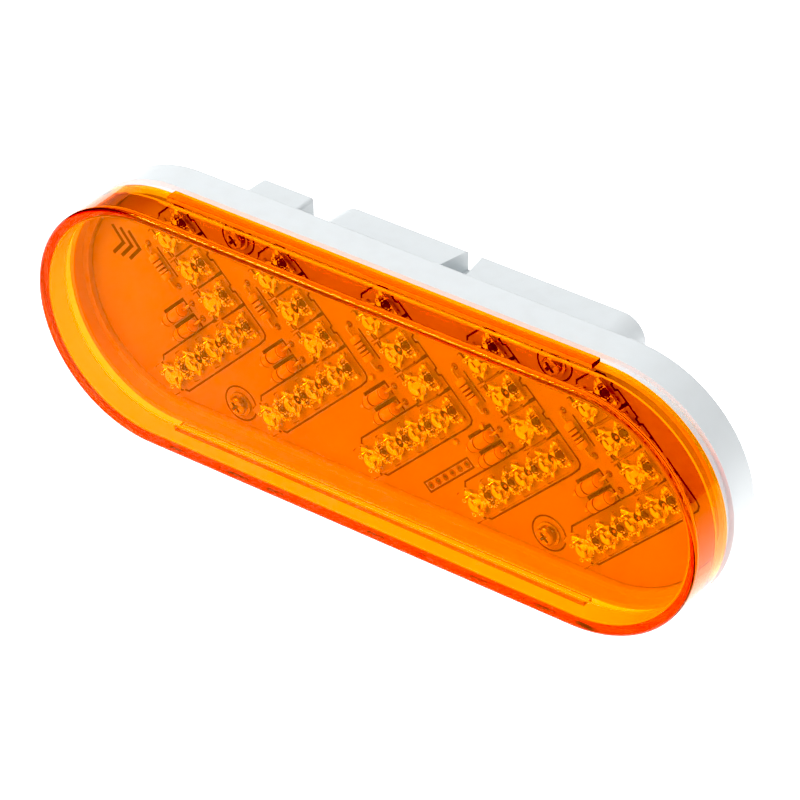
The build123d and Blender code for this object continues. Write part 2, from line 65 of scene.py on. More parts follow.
MM = 0.001
ROOT = "root"
QUARTER = math.pi / 2
EIGHTH = math.pi / 4
SLANT = math.sqrt(0.5)
ARROWS = 5
LIGHTS_PER_ARM = 3  # beside the corner light
EDGE_REACH = 0.01 * MM  # how near to a face's height an edge counts as lying on it
PLAIN_WHITE = (1.0, 1.0, 1.0)
ONTO_BOARD = Matrix.Rotation(QUARTER, 4, "X")  # a part's up becomes the lamp's forward

Colour = tuple[float, float, float]
Place = tuple[float, float]


# ---------------------------------------------------------------- modelling
class Along(Enum):
    """The axis that a round bar is made along."""

    X = (0.0, QUARTER, 0.0)
    Y = (QUARTER, 0.0, 0.0)
    Z = (0.0, 0.0, 0.0)


def active() -> bpy.types.Object:
    """Returns the object that an operator has just added."""
    return bpy.context.view_layer.objects.active


def select_only(*objects: bpy.types.Object) -> None:
    """Selects these objects and nothing else.

    Args:
        objects: what to select; the first one becomes the active object.
    """
    bpy.ops.object.select_all(action="DESELECT")
    for piece in objects:
        piece.select_set(True)
    if objects:
        bpy.context.view_layer.objects.active = objects[0]


def edit(piece: bpy.types.Object, mode: str = "EDGE") -> None:
    """Opens a piece in edit mode with nothing selected.

    Args:
        piece: the piece to edit.
        mode: VERT, EDGE or FACE.
    """
    select_only(piece)
    bpy.ops.object.mode_set(mode="EDIT")
    bpy.ops.mesh.select_mode(type=mode)
    bpy.ops.mesh.select_all(action="DESELECT")
    bpy.ops.object.mode_set(mode="OBJECT")


def pick_edges(piece: bpy.types.Object, test: Callable[[Vector], bool]) -> None:
    """Selects the edges whose both ends pass a test, and opens edit mode.

    Args:
        piece: the piece to select on.
        test: takes a vertex place and says whether it counts.
    """
    edit(piece, "EDGE")
    passing = {v.index for v in piece.data.vertices if test(v.co)}
    for edge in piece.data.edges:
        edge.select = edge.vertices[0] in passing and edge.vertices[1] in passing
    bpy.ops.object.mode_set(mode="EDIT")


def pick_faces(piece: bpy.types.Object, test: Callable[[Vector, Vector], bool]) -> None:
    """Selects the faces that pass a test, and opens edit mode.

    Args:
        piece: the piece to select on.
        test: takes a face's centre and normal and says whether it counts.
    """
    edit(piece, "FACE")
    for face in piece.data.polygons:
        face.select = test(face.center, face.normal)
    bpy.ops.object.mode_set(mode="EDIT")


def leave_edit() -> None:
    """Goes back to object mode."""
    bpy.ops.object.mode_set(mode="OBJECT")


def settle(piece: bpy.types.Object) -> bpy.types.Object:
    """Puts a piece's place, turn and size into its mesh.

    Args:
        piece: the piece to settle.

    Returns:
        The same piece, unturned at the origin.
    """
    select_only(piece)
    bpy.ops.object.transform_apply(location=True, rotation=True, scale=True)
    return piece


def block(size: Vector, middle: Vector, turn: float = 0.0) -> bpy.types.Object:
    """Adds a block.

    Args:
        size: its three sides.
        middle: its centre.
        turn: its turn about the z axis.

    Returns:
        The block, settled.
    """
    bpy.ops.mesh.primitive_cube_add(size=1, location=middle, rotation=(0, 0, turn))
    piece = active()
    piece.scale = size
    return settle(piece)


def bar(
    radius: float, length: float, middle: Vector, along: Along = Along.Z, sides: int = 24
) -> bpy.types.Object:
    """Adds a round bar.

    Args:
        radius: its radius.
        length: its length.
        middle: its centre.
        along: the axis it lies along.
        sides: how many sides its circle has.

    Returns:
        The bar, settled.
    """
    bpy.ops.mesh.primitive_cylinder_add(
        vertices=sides, radius=radius, depth=length, location=middle, rotation=along.value
    )
    return settle(active())


def soften(
    piece: bpy.types.Object, width: float, segments: int = 2, angle: float = 40.0
) -> bpy.types.Object:
    """Rounds a piece's sharp edges with an applied bevel.

    Args:
        piece: the piece to round.
        width: the width of the rounding.
        segments: how many facets it has.
        angle: the least angle, in degrees, that counts as sharp.

    Returns:
        The same piece.
    """
    rounding = piece.modifiers.new("rounding", "BEVEL")
    rounding.width = width
    rounding.segments = segments
    rounding.limit_method = "ANGLE"
    rounding.angle_limit = math.radians(angle)
    rounding.harden_normals = False
    return apply_modifier(piece, rounding.name)


def apply_modifier(piece: bpy.types.Object, name: str) -> bpy.types.Object:
    """Applies one modifier of a piece.

    Args:
        piece: the piece that has it.
        name: the modifier's name.

    Returns:
        The same piece.
    """
    select_only(piece)
    bpy.ops.object.modifier_apply(modifier=name)
    return piece


def smooth(piece: bpy.types.Object, angle: float = 35.0) -> bpy.types.Object:
    """Shades a piece smooth, except over its sharp edges.

    Args:
        piece: the piece to shade.
        angle: the least angle, in degrees, that stays sharp.

    Returns:
        The same piece.
    """
    select_only(piece)
    bpy.ops.object.shade_smooth_by_angle(angle=math.radians(angle))
    return piece


def even_normals(piece: bpy.types.Object) -> bpy.types.Object:
    """Lets the large faces of a smooth piece set its normals, so that flats look flat.

    Args:
        piece: the piece to even out.

    Returns:
        The same piece.
    """
    weighting = piece.modifiers.new("weighting", "WEIGHTED_NORMAL")
    weighting.keep_sharp = True
    return apply_modifier(piece, weighting.name)


def combine(piece: bpy.types.Object, other: bpy.types.Object, operation: str) -> bpy.types.Object:
    """Unites two closed shapes or cuts one from the other.

    Args:
        piece: the shape that stays.
        other: the shape that is used up.
        operation: UNION or DIFFERENCE.

    Returns:
        The first piece.
    """
    change = piece.modifiers.new("change", "BOOLEAN")
    change.operation = operation
    change.object = other
    change.solver = "EXACT"
    apply_modifier(piece, change.name)
    bpy.data.objects.remove(other)
    return piece


def join(name: str, pieces: list[bpy.types.Object]) -> bpy.types.Object:
    """Joins pieces into one named piece.

    Args:
        name: the name of the result.
        pieces: what to join.

    Returns:
        The joined piece.
    """
    select_only(*pieces)
    if len(pieces) > 1:
        bpy.ops.object.join()
    piece = active()
    piece.name = name
    piece.data.name = name
    return piece


def repeat(name: str, pattern: bpy.types.Object, places: list[Matrix]) -> bpy.types.Object:
    """Sets copies of a pattern in place as one piece, and keeps the pattern.

    Args:
        name: the name of the piece.
        pattern: the shape to copy.
        places: where each copy goes.

    Returns:
        The copies, joined.
    """
    copies = []
    for place in places:
        copy = bpy.data.objects.new(name, pattern.data.copy())
        copy.data.transform(place)
        bpy.context.scene.collection.objects.link(copy)
        copies.append(copy)
    return join(name, copies)


def drop(*pieces: bpy.types.Object) -> None:
    """Removes patterns that have been copied.

    Args:
        pieces: the patterns.
    """
    for piece in pieces:
        bpy.data.objects.remove(piece)


def stroke(start: Place, end: Place, width: float, base: float, rise: float) -> bpy.types.Object:
    """Adds a straight printed stroke with square ends.

    Args:
        start: where its middle line starts, in plan.
        end: where its middle line ends, in plan.
        width: its width.
        base: the height that it lies on.
        rise: how far it stands up.

    Returns:
        The stroke.
    """
    run, climb = end[0] - start[0], end[1] - start[1]
    middle = Vector(((start[0] + end[0]) / 2, (start[1] + end[1]) / 2, base + rise / 2))
    return block(Vector((math.hypot(run, climb) + width, width, rise)), middle, math.atan2(climb, run))


def ring(radius: float, width: float, base: float, rise: float, middle: Place) -> bpy.types.Object:
    """Adds a flat ring.

    Args:
        radius: the radius of its middle line.
        width: its width.
        base: the height that it lies on.
        rise: how far it stands up.
        middle: its centre in plan.

    Returns:
        The ring.
    """
    bpy.ops.mesh.primitive_torus_add(
        major_segments=32,
        minor_segments=4,
        major_radius=radius,
        minor_radius=width / 2,
        location=(*middle, base),
    )
    piece = active()
    piece.scale = (1, 1, 2 * rise / width)
    return settle(piece)


def path_of(points: list[Place], width: float, base: float, rise: float) -> list[bpy.types.Object]:
    """Adds the strokes of a printed path from point to point.

    Args:
        points: the path's points, in plan.
        width: the strokes' width.
        base: the height that they lie on.
        rise: how far they stand up.

    Returns:
        The strokes.
    """
    return [stroke(start, end, width, base, rise) for start, end in zip(points, points[1:])]


def oval(length: float, height: float, base: float, top: float, draft: float = 0.0) -> bpy.types.Object:
    """Adds an upright solid with round ends and two straight sides.

    Args:
        length: its length at its base.
        height: its width at its base, which is also the width of its round ends.
        base: the height of its base.
        top: the height of its top.
        draft: how far each side leans in from base to top.

    Returns:
        The solid.
    """
    bpy.ops.mesh.primitive_plane_add(size=1, location=(0, 0, base))
    piece = active()
    piece.scale = (length, height, 1)
    settle(piece)
    bpy.ops.object.mode_set(mode="EDIT")
    bpy.ops.mesh.select_mode(type="VERT")
    bpy.ops.mesh.select_all(action="SELECT")
    bpy.ops.mesh.bevel(offset=height / 2, segments=32, profile=0.5, affect="VERTICES", clamp_overlap=False)
    bpy.ops.mesh.select_all(action="SELECT")
    bpy.ops.mesh.remove_doubles(threshold=0.01 * MM)
    bpy.ops.mesh.extrude_region_move(TRANSFORM_OT_translate={"value": (0, 0, top - base)})
    lean = (1 - 2 * draft / length, 1 - 2 * draft / height, 1)
    bpy.ops.transform.resize(value=lean, center_override=(0, 0, top))
    bpy.ops.mesh.select_all(action="SELECT")
    bpy.ops.mesh.normals_make_consistent(inside=False)
    leave_edit()
    return piece


def refined(node: str, name: str, angle: float = 35.0) -> bpy.types.Object:
    """Copies a CAD node's mesh, closes its seams and shades its curves smooth.

    Args:
        node: the CAD node's name.
        name: the new piece's name.
        angle: the least angle, in degrees, that stays a sharp edge.

    Returns:
        The new piece.
    """
    source = bpy.data.objects[node]
    piece = bpy.data.objects.new(name, source.data.copy())
    bpy.context.scene.collection.objects.link(piece)
    select_only(piece)
    bpy.ops.mesh.customdata_custom_splitnormals_clear()
    bpy.ops.object.mode_set(mode="EDIT")
    bpy.ops.mesh.select_all(action="SELECT")
    bpy.ops.mesh.remove_doubles(threshold=0.002 * MM)
    leave_edit()
    piece.data.materials.clear()
    smooth(piece, angle)
    return even_normals(piece)


# ---------------------------------------------------------------- shader building
class Nodes:
    """A small builder of shader trees."""

    def __init__(self, tree: bpy.types.NodeTree) -> None:
        """Starts on a tree.

        Args:
            tree: the node tree to build in.
        """
        self.tree = tree

    def add(self, kind: str, **values: object) -> bpy.types.Node:
        """Adds a node and sets its properties.

        Args:
            kind: the node's type name.
            values: its properties.

        Returns:
            The node.
        """
        node = self.tree.nodes.new(kind)
        for name, value in values.items():
            setattr(node, name, value)
        return node

    def link(self, start: bpy.types.NodeSocket, end: bpy.types.NodeSocket) -> None:
        """Links one socket to another."""
        self.tree.links.new(start, end)

    def ramp(
        self, value: bpy.types.NodeSocket, low: float, high: float, start: float, end: float
    ) -> bpy.types.NodeSocket:
        """Maps a value from one range to another.

        Args:
            value: the socket to read.
            low: the value that becomes start.
            high: the value that becomes end.
            start: the result at low.
            end: the result at high.

        Returns:
            The mapped value's socket.
        """
        node = self.add("ShaderNodeMapRange")
        self.link(value, node.inputs["Value"])
        for name, number in zip(("From Min", "From Max", "To Min", "To Max"), (low, high, start, end)):
            node.inputs[name].default_value = number
        return node.outputs["Result"]

    def mix(self, factor: bpy.types.NodeSocket, first: object, second: object) -> bpy.types.NodeSocket:
        """Mixes two colours.

        Args:
            factor: the socket that chooses between them.
            first: the colour, or socket, at zero.
            second: the colour, or socket, at one.

        Returns:
            The mixed colour's socket.
        """
        node = self.add("ShaderNodeMix", data_type="RGBA")
        self.link(factor, node.inputs["Factor"])
        for socket, colour in ((node.inputs["A"], first), (node.inputs["B"], second)):
            if isinstance(colour, tuple):
                socket.default_value = (*colour, 1.0)
            else:
                self.link(colour, socket)
        return node.outputs["Result"]


def open_group(
    name: str, inputs: dict[str, float], outputs: dict[str, str]
) -> tuple[bpy.types.NodeTree, Nodes]:
    """Starts a shader node group.

    Args:
        name: the group's name.
        inputs: each number that the group takes, with its usual value.
        outputs: each output, with its socket type.

    Returns:
        The group and a builder on it.
    """
    group = bpy.data.node_groups.new(name, "ShaderNodeTree")
    group.interface.new_socket("Vector", in_out="INPUT", socket_type="NodeSocketVector")
    for title, value in inputs.items():
        socket = group.interface.new_socket(title, in_out="INPUT", socket_type="NodeSocketFloat")
        socket.default_value = value
    for title, kind in outputs.items():
        group.interface.new_socket(title, in_out="OUTPUT", socket_type=kind)
    return group, Nodes(group)


def grain_group() -> bpy.types.NodeTree:
    """Builds the fine unevenness that moulded, cast and printed surfaces share.

    Returns:
        A group that gives a height and a slow mottle.
    """
    group, nodes = open_group(
        "surface grain",
        {"Size": 900.0, "Mottle Size": 60.0},
        {"Height": "NodeSocketFloat", "Mottle": "NodeSocketFloat"},
    )
    start = nodes.add("NodeGroupInput")
    end = nodes.add("NodeGroupOutput")
    fine = nodes.add("ShaderNodeTexNoise")
    fine.inputs["Detail"].default_value = 4.0
    slow = nodes.add("ShaderNodeTexNoise")
    slow.inputs["Detail"].default_value = 3.0
    for texture, size in ((fine, "Size"), (slow, "Mottle Size")):
        nodes.link(start.outputs["Vector"], texture.inputs["Vector"])
        nodes.link(start.outputs[size], texture.inputs["Scale"])
    nodes.link(fine.outputs["Fac"], end.inputs["Height"])
    nodes.link(slow.outputs["Fac"], end.inputs["Mottle"])
    return group


def dust_group() -> bpy.types.NodeTree:
    """Builds the light dust that settles on faces that look up.

    Returns:
        A group that gives a mask, zero where clean.
    """
    group, nodes = open_group("settled dust", {"Amount": 0.3}, {"Mask": "NodeSocketFloat"})
    start = nodes.add("NodeGroupInput")
    end = nodes.add("NodeGroupOutput")
    facing = nodes.add("ShaderNodeNewGeometry")
    split = nodes.add("ShaderNodeSeparateXYZ")
    nodes.link(facing.outputs["Normal"], split.inputs["Vector"])
    up = nodes.ramp(split.outputs["Z"], 0.1, 1.0, 0.0, 1.0)
    speckle = nodes.add("ShaderNodeTexNoise")
    speckle.inputs["Scale"].default_value = 240.0
    speckle.inputs["Detail"].default_value = 8.0
    nodes.link(start.outputs["Vector"], speckle.inputs["Vector"])
    patches = nodes.ramp(speckle.outputs["Fac"], 0.45, 0.75, 0.0, 1.0)
    both = nodes.add("ShaderNodeMath", operation="MULTIPLY")
    nodes.link(up, both.inputs[0])
    nodes.link(patches, both.inputs[1])
    amount = nodes.add("ShaderNodeMath", operation="MULTIPLY")
    nodes.link(both.outputs[0], amount.inputs[0])
    nodes.link(start.outputs["Amount"], amount.inputs[1])
    nodes.link(amount.outputs[0], end.inputs["Mask"])
    return group


class Effects:
    """The node groups that several finishes share, each built once."""

    grain: bpy.types.NodeTree
    dust: bpy.types.NodeTree

    @classmethod
    def build(cls) -> None:
        """Builds the groups."""
        cls.grain = grain_group()
        cls.dust = dust_group()


@dataclass(frozen=True)
class Finish:
    """A solid surface: two close shades, a grain and a gloss that varies a little."""

    name: str
    colour: Colour
    shade: Colour
    roughness: float = 0.4
    rough_spread: float = 0.08
    metallic: float = 0.0
    coat: float = 0.0
    grain_size: float = 900.0
    grain_depth: float = 0.004
    mottle_size: float = 60.0
    dust: float = 0.0
    dust_colour: Colour = (0.45, 0.42, 0.38)

    def make(self) -> bpy.types.Material:
        """Builds the material.

        Returns:
            The material.
        """
        material = bpy.data.materials.new(self.name)
        material.use_nodes = True
        nodes = Nodes(material.node_tree)
        shader = material.node_tree.nodes["Principled BSDF"]
        shader.inputs["Metallic"].default_value = self.metallic
        shader.inputs["Coat Weight"].default_value = self.coat
        place = nodes.add("ShaderNodeTexCoord")
        grain = nodes.add("ShaderNodeGroup", node_tree=Effects.grain)
        grain.inputs["Size"].default_value = self.grain_size
        grain.inputs["Mottle Size"].default_value = self.mottle_size
        nodes.link(place.outputs["Object"], grain.inputs["Vector"])
        mottle = nodes.ramp(grain.outputs["Mottle"], 0.3, 0.7, 0.0, 1.0)
        colour = nodes.mix(mottle, self.colour, self.shade)
        low, high = self.roughness - self.rough_spread, self.roughness + self.rough_spread
        rough = nodes.ramp(grain.outputs["Mottle"], 0.3, 0.7, low, high)
        if self.dust > 0:
            dust = nodes.add("ShaderNodeGroup", node_tree=Effects.dust)
            dust.inputs["Amount"].default_value = self.dust
            nodes.link(place.outputs["Object"], dust.inputs["Vector"])
            colour = nodes.mix(dust.outputs["Mask"], colour, self.dust_colour)
        nodes.link(colour, shader.inputs["Base Color"])
        nodes.link(rough, shader.inputs["Roughness"])
        bump = nodes.add("ShaderNodeBump")
        bump.inputs["Strength"].default_value = 0.5
        bump.inputs["Distance"].default_value = self.grain_depth * MM
        nodes.link(grain.outputs["Height"], bump.inputs["Height"])
        nodes.link(bump.outputs["Normal"], shader.inputs["Normal"])
        return material


@dataclass(frozen=True)
class ClearFinish:
    """A clear moulding that tints light by how far it goes through, and lets lamps shine in."""

    name: str
    absorbed: Colour  # the colour left over, as Blender's absorption takes it
    density: float  # per metre
    index: float
    glint: Colour = PLAIN_WHITE  # the tint of what it mirrors
    roughness: float = 0.01
    rough_spread: float = 0.008
    wave_depth: float = 0.01
    wave_size: float = 45.0

    def make(self) -> bpy.types.Material:
        """Builds the material.

        Returns:
            The material.
        """
        material = bpy.data.materials.new(self.name)
        material.use_nodes = True
        nodes = Nodes(material.node_tree)
        shader = material.node_tree.nodes["Principled BSDF"]
        output = material.node_tree.nodes["Material Output"]
        shader.inputs["Base Color"].default_value = (*PLAIN_WHITE, 1.0)
        shader.inputs["Transmission Weight"].default_value = 1.0
        shader.inputs["IOR"].default_value = self.index
        shader.inputs["Specular Tint"].default_value = (*self.glint, 1.0)
        place = nodes.add("ShaderNodeTexCoord")
        grain = nodes.add("ShaderNodeGroup", node_tree=Effects.grain)
        grain.inputs["Size"].default_value = self.wave_size
        grain.inputs["Mottle Size"].default_value = self.wave_size * 4
        nodes.link(place.outputs["Object"], grain.inputs["Vector"])
        low, high = self.roughness, self.roughness + self.rough_spread
        nodes.link(nodes.ramp(grain.outputs["Mottle"], 0.3, 0.7, low, high), shader.inputs["Roughness"])
        bump = nodes.add("ShaderNodeBump")
        bump.inputs["Strength"].default_value = 0.3
        bump.inputs["Distance"].default_value = self.wave_depth * MM
        nodes.link(grain.outputs["Height"], bump.inputs["Height"])
        nodes.link(bump.outputs["Normal"], shader.inputs["Normal"])
        through = nodes.add("ShaderNodeBsdfTransparent")
        rays = nodes.add("ShaderNodeLightPath")
        choice = nodes.add("ShaderNodeMixShader")
        nodes.link(rays.outputs["Is Shadow Ray"], choice.inputs["Fac"])
        nodes.link(shader.outputs["BSDF"], choice.inputs[1])
        nodes.link(through.outputs["BSDF"], choice.inputs[2])
        nodes.link(choice.outputs["Shader"], output.inputs["Surface"])
        if self.density > 0:
            volume = nodes.add("ShaderNodeVolumeAbsorption")
            volume.inputs["Color"].default_value = (*self.absorbed, 1.0)
            volume.inputs["Density"].default_value = self.density
            nodes.link(volume.outputs["Volume"], output.inputs["Volume"])
        return material


AMBER = ClearFinish("amber moulding", (0.995, 0.76, 0.0), 1500.0, 1.57, glint=(1.0, 0.5, 0.08))
CLEAR_RESIN = ClearFinish("clear resin", PLAIN_WHITE, 0.0, 1.14, wave_size=300.0)
WHITE_TRAY = Finish(
    "white tray", (0.7, 0.735, 0.75), (0.685, 0.72, 0.735), 0.38, grain_size=1400.0, dust=0.08
)
BOARD = Finish(
    "white board lacquer",
    (0.47, 0.45, 0.38),
    (0.44, 0.415, 0.345),
    0.42,
    0.1,
    grain_size=700.0,
    mottle_size=90.0,
)
PRINT = Finish("dark print", (0.006, 0.004, 0.003), (0.014, 0.008, 0.005), 0.7, grain_size=2500.0)
PLATING = Finish(
    "bright plating", (0.99, 0.97, 0.92), (0.97, 0.94, 0.88), 0.16, 0.05, metallic=1.0, mottle_size=500.0
)
# painted shade: a near-black finish for the dark spot set where each light's dome shows a dark patch
PAINTED_DOME_SHADE = Finish("painted dome shade", (0.012, 0.006, 0.003), (0.02, 0.01, 0.005), 0.45, grain_size=3000.0)
CRYSTAL = Finish("light crystal", (0.9, 0.6, 0.15), (0.85, 0.5, 0.1), 0.3, grain_size=4000.0)
DIODE_BODY = Finish(
    "diode moulding", (0.78, 0.58, 0.42), (0.72, 0.5, 0.36), 0.45, grain_size=2500.0, mottle_size=700.0
)
RESISTOR_BODY = Finish(
    "resistor lacquer", (0.85, 0.74, 0.55), (0.8, 0.67, 0.48), 0.35, coat=0.3, mottle_size=600.0
)
BAND = Finish("colour band", (0.03, 0.012, 0.008), (0.05, 0.02, 0.01), 0.45, grain_size=3000.0)
TINNED = Finish("tinned wire", (0.8, 0.76, 0.66), (0.7, 0.65, 0.55), 0.3, metallic=1.0, mottle_size=500.0)
AGED_PAD = Finish("aged pad", (0.16, 0.11, 0.07), (0.22, 0.15, 0.09), 0.4, mottle_size=600.0)
SCREW_STEEL = Finish(
    "plated screw", (0.5, 0.43, 0.3), (0.4, 0.34, 0.23), 0.26, metallic=1.0, mottle_size=300.0
)
BRASS = Finish("turned brass", (0.85, 0.63, 0.28), (0.78, 0.55, 0.22), 0.25, metallic=1.0, mottle_size=250.0)
RESIN = Finish("cast resin", (0.02, 0.02, 0.022), (0.03, 0.03, 0.03), 0.25, coat=0.4, mottle_size=90.0)
SEAL = Finish("pale seal rubber", (0.8, 0.76, 0.68), (0.76, 0.71, 0.62), 0.6, grain_size=1500.0)
BLACK = Finish("black moulding", (0.02, 0.02, 0.02), (0.03, 0.03, 0.03), 0.5, grain_size=2500.0)
CAN = Finish("drawn can", (0.75, 0.75, 0.78), (0.68, 0.68, 0.7), 0.3, metallic=1.0, mottle_size=300.0)
FLOOR_PAPER = Finish("floor paper", (0.9, 0.9, 0.9), (0.88, 0.88, 0.88), 0.7, grain_size=400.0)


class Paintbox:
    """Makes each finish's material once."""

    made: dict[str, bpy.types.Material] = {}

    @classmethod
    def get(cls, finish: Finish | ClearFinish) -> bpy.types.Material:
        """Gives a finish's material, made the first time it is asked for.

        Args:
            finish: the finish.

        Returns:
            Its material.
        """
        if finish.name not in cls.made:
            cls.made[finish.name] = finish.make()
        return cls.made[finish.name]


def dress(piece: bpy.types.Object, finish: Finish | ClearFinish) -> bpy.types.Object:
    """Gives all of a piece one finish.

    Args:
        piece: the piece to dress.
        finish: its finish.

    Returns:
        The same piece.
    """
    piece.data.materials.clear()
    piece.data.materials.append(Paintbox.get(finish))
    return piece


def dress_node(node: str, finish: Finish | ClearFinish) -> None:
    """Gives a CAD node a finish without touching its mesh.

    Args:
        node: the node's name.
        finish: its finish.
    """
    target = bpy.data.objects[node]
    for slot in target.material_slots:
        slot.material = Paintbox.get(finish)


def stand_for(piece: bpy.types.Object, slot: str, *nodes: str) -> None:
    """Makes a piece part of the lamp, in place of CAD nodes or as an addition.

    Args:
        piece: the finished piece.
        slot: not used.
        nodes: the CAD nodes that it replaces, if any.
    """
    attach(piece, ROOT)
    if nodes:
        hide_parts(*nodes)
    log.info("%s: %d faces", piece.name, len(piece.data.polygons))


# ---------------------------------------------------------------- where things are
@dataclass(frozen=True)
class Layout:
    """Places read from the CAD model, in plan: x along the lamp, y up it, z forward of the seat plane."""

    length: float
    height: float
    tray_front: float
    lens_front: float
    board_front: float
    corners: tuple[float, ...]
    pitch: float

    @classmethod
    def read(cls) -> "Layout":
        """Reads the places off the CAD nodes.

        Returns:
            The layout.
        """
        tray_low, tray_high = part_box("housing")
        dies = [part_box(f"light_dies_{number}") for number in range(1, ARROWS + 1)]
        reach = dies[0][1][2] - Light.die_half_diagonal
        corners = tuple(high[0] - Light.die_half_diagonal for _, high in dies)
        return cls(
            length=tray_high[0] - tray_low[0],
            height=tray_high[2] - tray_low[2],
            tray_front=-tray_low[1],
            lens_front=-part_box("lens")[0][1],
            board_front=-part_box("circuit_board")[0][1],
            corners=corners,
            pitch=reach / (LIGHTS_PER_ARM * SLANT),
        )

    def on_arrow(self, arrow: int, across: float, along: float) -> Place:
        """Gives the plan place of a point on an arrowhead.

        Args:
            arrow: the arrowhead, from 0.
            across: millimetres from its corner light along its upper arm.
            along: millimetres from its corner light along its lower arm.

        Returns:
            The place.
        """
        return (
            self.corners[arrow] + SLANT * (across + along) * MM,
            SLANT * (along - across) * MM,
        )

    def seat(self, place: Place, turn: float = EIGHTH) -> Matrix:
        """Gives the move that sets a part, made on z = 0, on the board's front.

        Args:
            place: the part's place in plan.
            turn: the part's turn on the board.

        Returns:
            The move, in the lamp's own frame.
        """
        in_plan = Matrix.Translation((*place, self.board_front)) @ Matrix.Rotation(turn, 4, "Z")
        return ONTO_BOARD @ in_plan

    def light_places(self, arrow: int) -> list[Place]:
        """Gives the plan place of each of an arrowhead's lights, from the top round to the bottom.

        Args:
            arrow: the arrowhead, from 0.

        Returns:
            The places.
        """
        step = self.pitch / MM
        upper = [self.on_arrow(arrow, -n * step, 0) for n in range(LIGHTS_PER_ARM, 0, -1)]
        return upper + [self.on_arrow(arrow, 0, -n * step) for n in range(LIGHTS_PER_ARM + 1)]


@dataclass(frozen=True)
class BoardPlan:
    """Where the parts between the arrowheads stand, in millimetres from an arrowhead's corner light."""

    layout: Layout
    diode_rows: tuple[float, float] = (-6.37, -10.30)
    diode_along: float = -14.45
    diode_span: float = 10.6  # between a diode's two holes
    resistor_across: float = -20.3
    resistor_along: float = -9.45
    resistor_span: float = 11.0
    screw_columns: tuple[float, float] = (-39.35, 39.4)  # in plan
    screw_row: float = 19.775  # in plan
    header_arrow: int = 3
    header_across: float = -7.5
    header_along: float = -29.78
    header_pitch: float = 2.54
    header_pads: int = 6

    def diodes(self) -> list[Place]:
        """Gives the plan places of the rectifier diodes.

        Returns:
            The places.
        """
        return [
            self.layout.on_arrow(arrow, row, self.diode_along)
            for arrow in range(ARROWS)
            for row in self.diode_rows
        ]

    def resistors(self) -> list[Place]:
        """Gives the plan places of the ballast resistors.

        Returns:
            The places.
        """
        return [
            self.layout.on_arrow(arrow, self.resistor_across, self.resistor_along) for arrow in range(ARROWS)
        ]

    def screws(self) -> list[Place]:
        """Gives the plan places of the board screws."""
        return [(x * MM, y * MM) for x in self.screw_columns for y in (-self.screw_row, self.screw_row)]

    def header(self) -> list[Place]:
        """Gives the plan places of the programming pads.

        Returns:
            The places.
        """
        first = self.header_along - self.header_pitch * (self.header_pads - 1) / 2
        return [
            self.layout.on_arrow(self.header_arrow, self.header_across, first + self.header_pitch * n)
            for n in range(self.header_pads)
        ]

    def lead_holes(self) -> list[Place]:
        """Gives the plan places of the holes that the diodes' and resistors' wires pass through.

        Returns:
            The places.
        """
        rows = ((self.diodes(), self.diode_span, 1), (self.resistors(), self.resistor_span, -1))
        holes = []
        for places, span, climb in rows:
            step = SLANT * span / 2 * MM
            holes += [(x + climb * end * step, y + end * step) for x, y in places for end in (-1, 1)]
        return holes


# ---------------------------------------------------------------- the lens
@dataclass
class Lens:
    """The clear amber cup: face, walls, ledges and the rebated foot that passes over the tray's lip."""

    layout: Layout
    inset: float = 0.05 * MM
    face: float = 2.2 * MM
    wall: float = 2.1 * MM
    draft: float = 0.095 * MM
    edge_radius: float = 0.88 * MM
    inner_radius: float = 0.5 * MM
    ledge: Vector = field(default_factory=lambda: Vector((105.0, 1.0, 3.0)) * MM)
    ledge_radius: float = 0.25 * MM
    rebate_inset: float = 1.15 * MM
    rebate_depth: float = 3.02 * MM
    bite: float = 0.03 * MM  # the weld: the lens's foot melts this far into the tray

    def plan(self, inset: float, base: float, top: float, draft: float = 0.0) -> bpy.types.Object:
        """Adds a solid in the lamp's outline.

        Args:
            inset: how far it is taken in from the outline.
            base: the height of its base.
            top: the height of its top.
            draft: how far each side leans in from base to top.

        Returns:
            The solid.
        """
        return oval(self.layout.length - 2 * inset, self.layout.height - 2 * inset, base, top, draft)

    def round_front(self, solid: bpy.types.Object, height: float, radius: float, segments: int) -> None:
        """Rounds the edge round a solid's front.

        Args:
            solid: the solid.
            height: the height of its front.
            radius: the rounding's radius.
            segments: how many facets the rounding has.
        """
        pick_edges(solid, lambda place: place.z > height - EDGE_REACH)
        bpy.ops.mesh.bevel(offset=radius, segments=segments, profile=0.5, affect="EDGES")
        leave_edit()

    def build(self) -> None:
        """Builds and dresses the lens."""
        base, front = self.layout.tray_front - self.bite, self.layout.lens_front
        lens = self.plan(self.inset, base, front, self.draft)
        self.round_front(lens, front, self.edge_radius, 6)
        ledge_size = Vector((self.ledge.x, self.layout.height + 2 * self.ledge.y, self.ledge.z))
        ledges = block(ledge_size, Vector((0, 0, base + self.ledge.z / 2)))
        combine(lens, soften(ledges, self.ledge_radius), "UNION")
        below = base - self.face
        hollow = self.plan(self.inset + self.wall, below, front - self.face, self.draft)
        self.round_front(hollow, front - self.face, self.inner_radius, 4)
        combine(hollow, self.plan(self.rebate_inset, below - self.face, base + self.rebate_depth), "UNION")
        combine(lens, hollow, "DIFFERENCE")
        lens.data.transform(ONTO_BOARD)
        smooth(lens, 40)
        even_normals(lens)
        stand_for(dress(join("lens_moulding", [lens]), AMBER), "amber_lens", "lens")


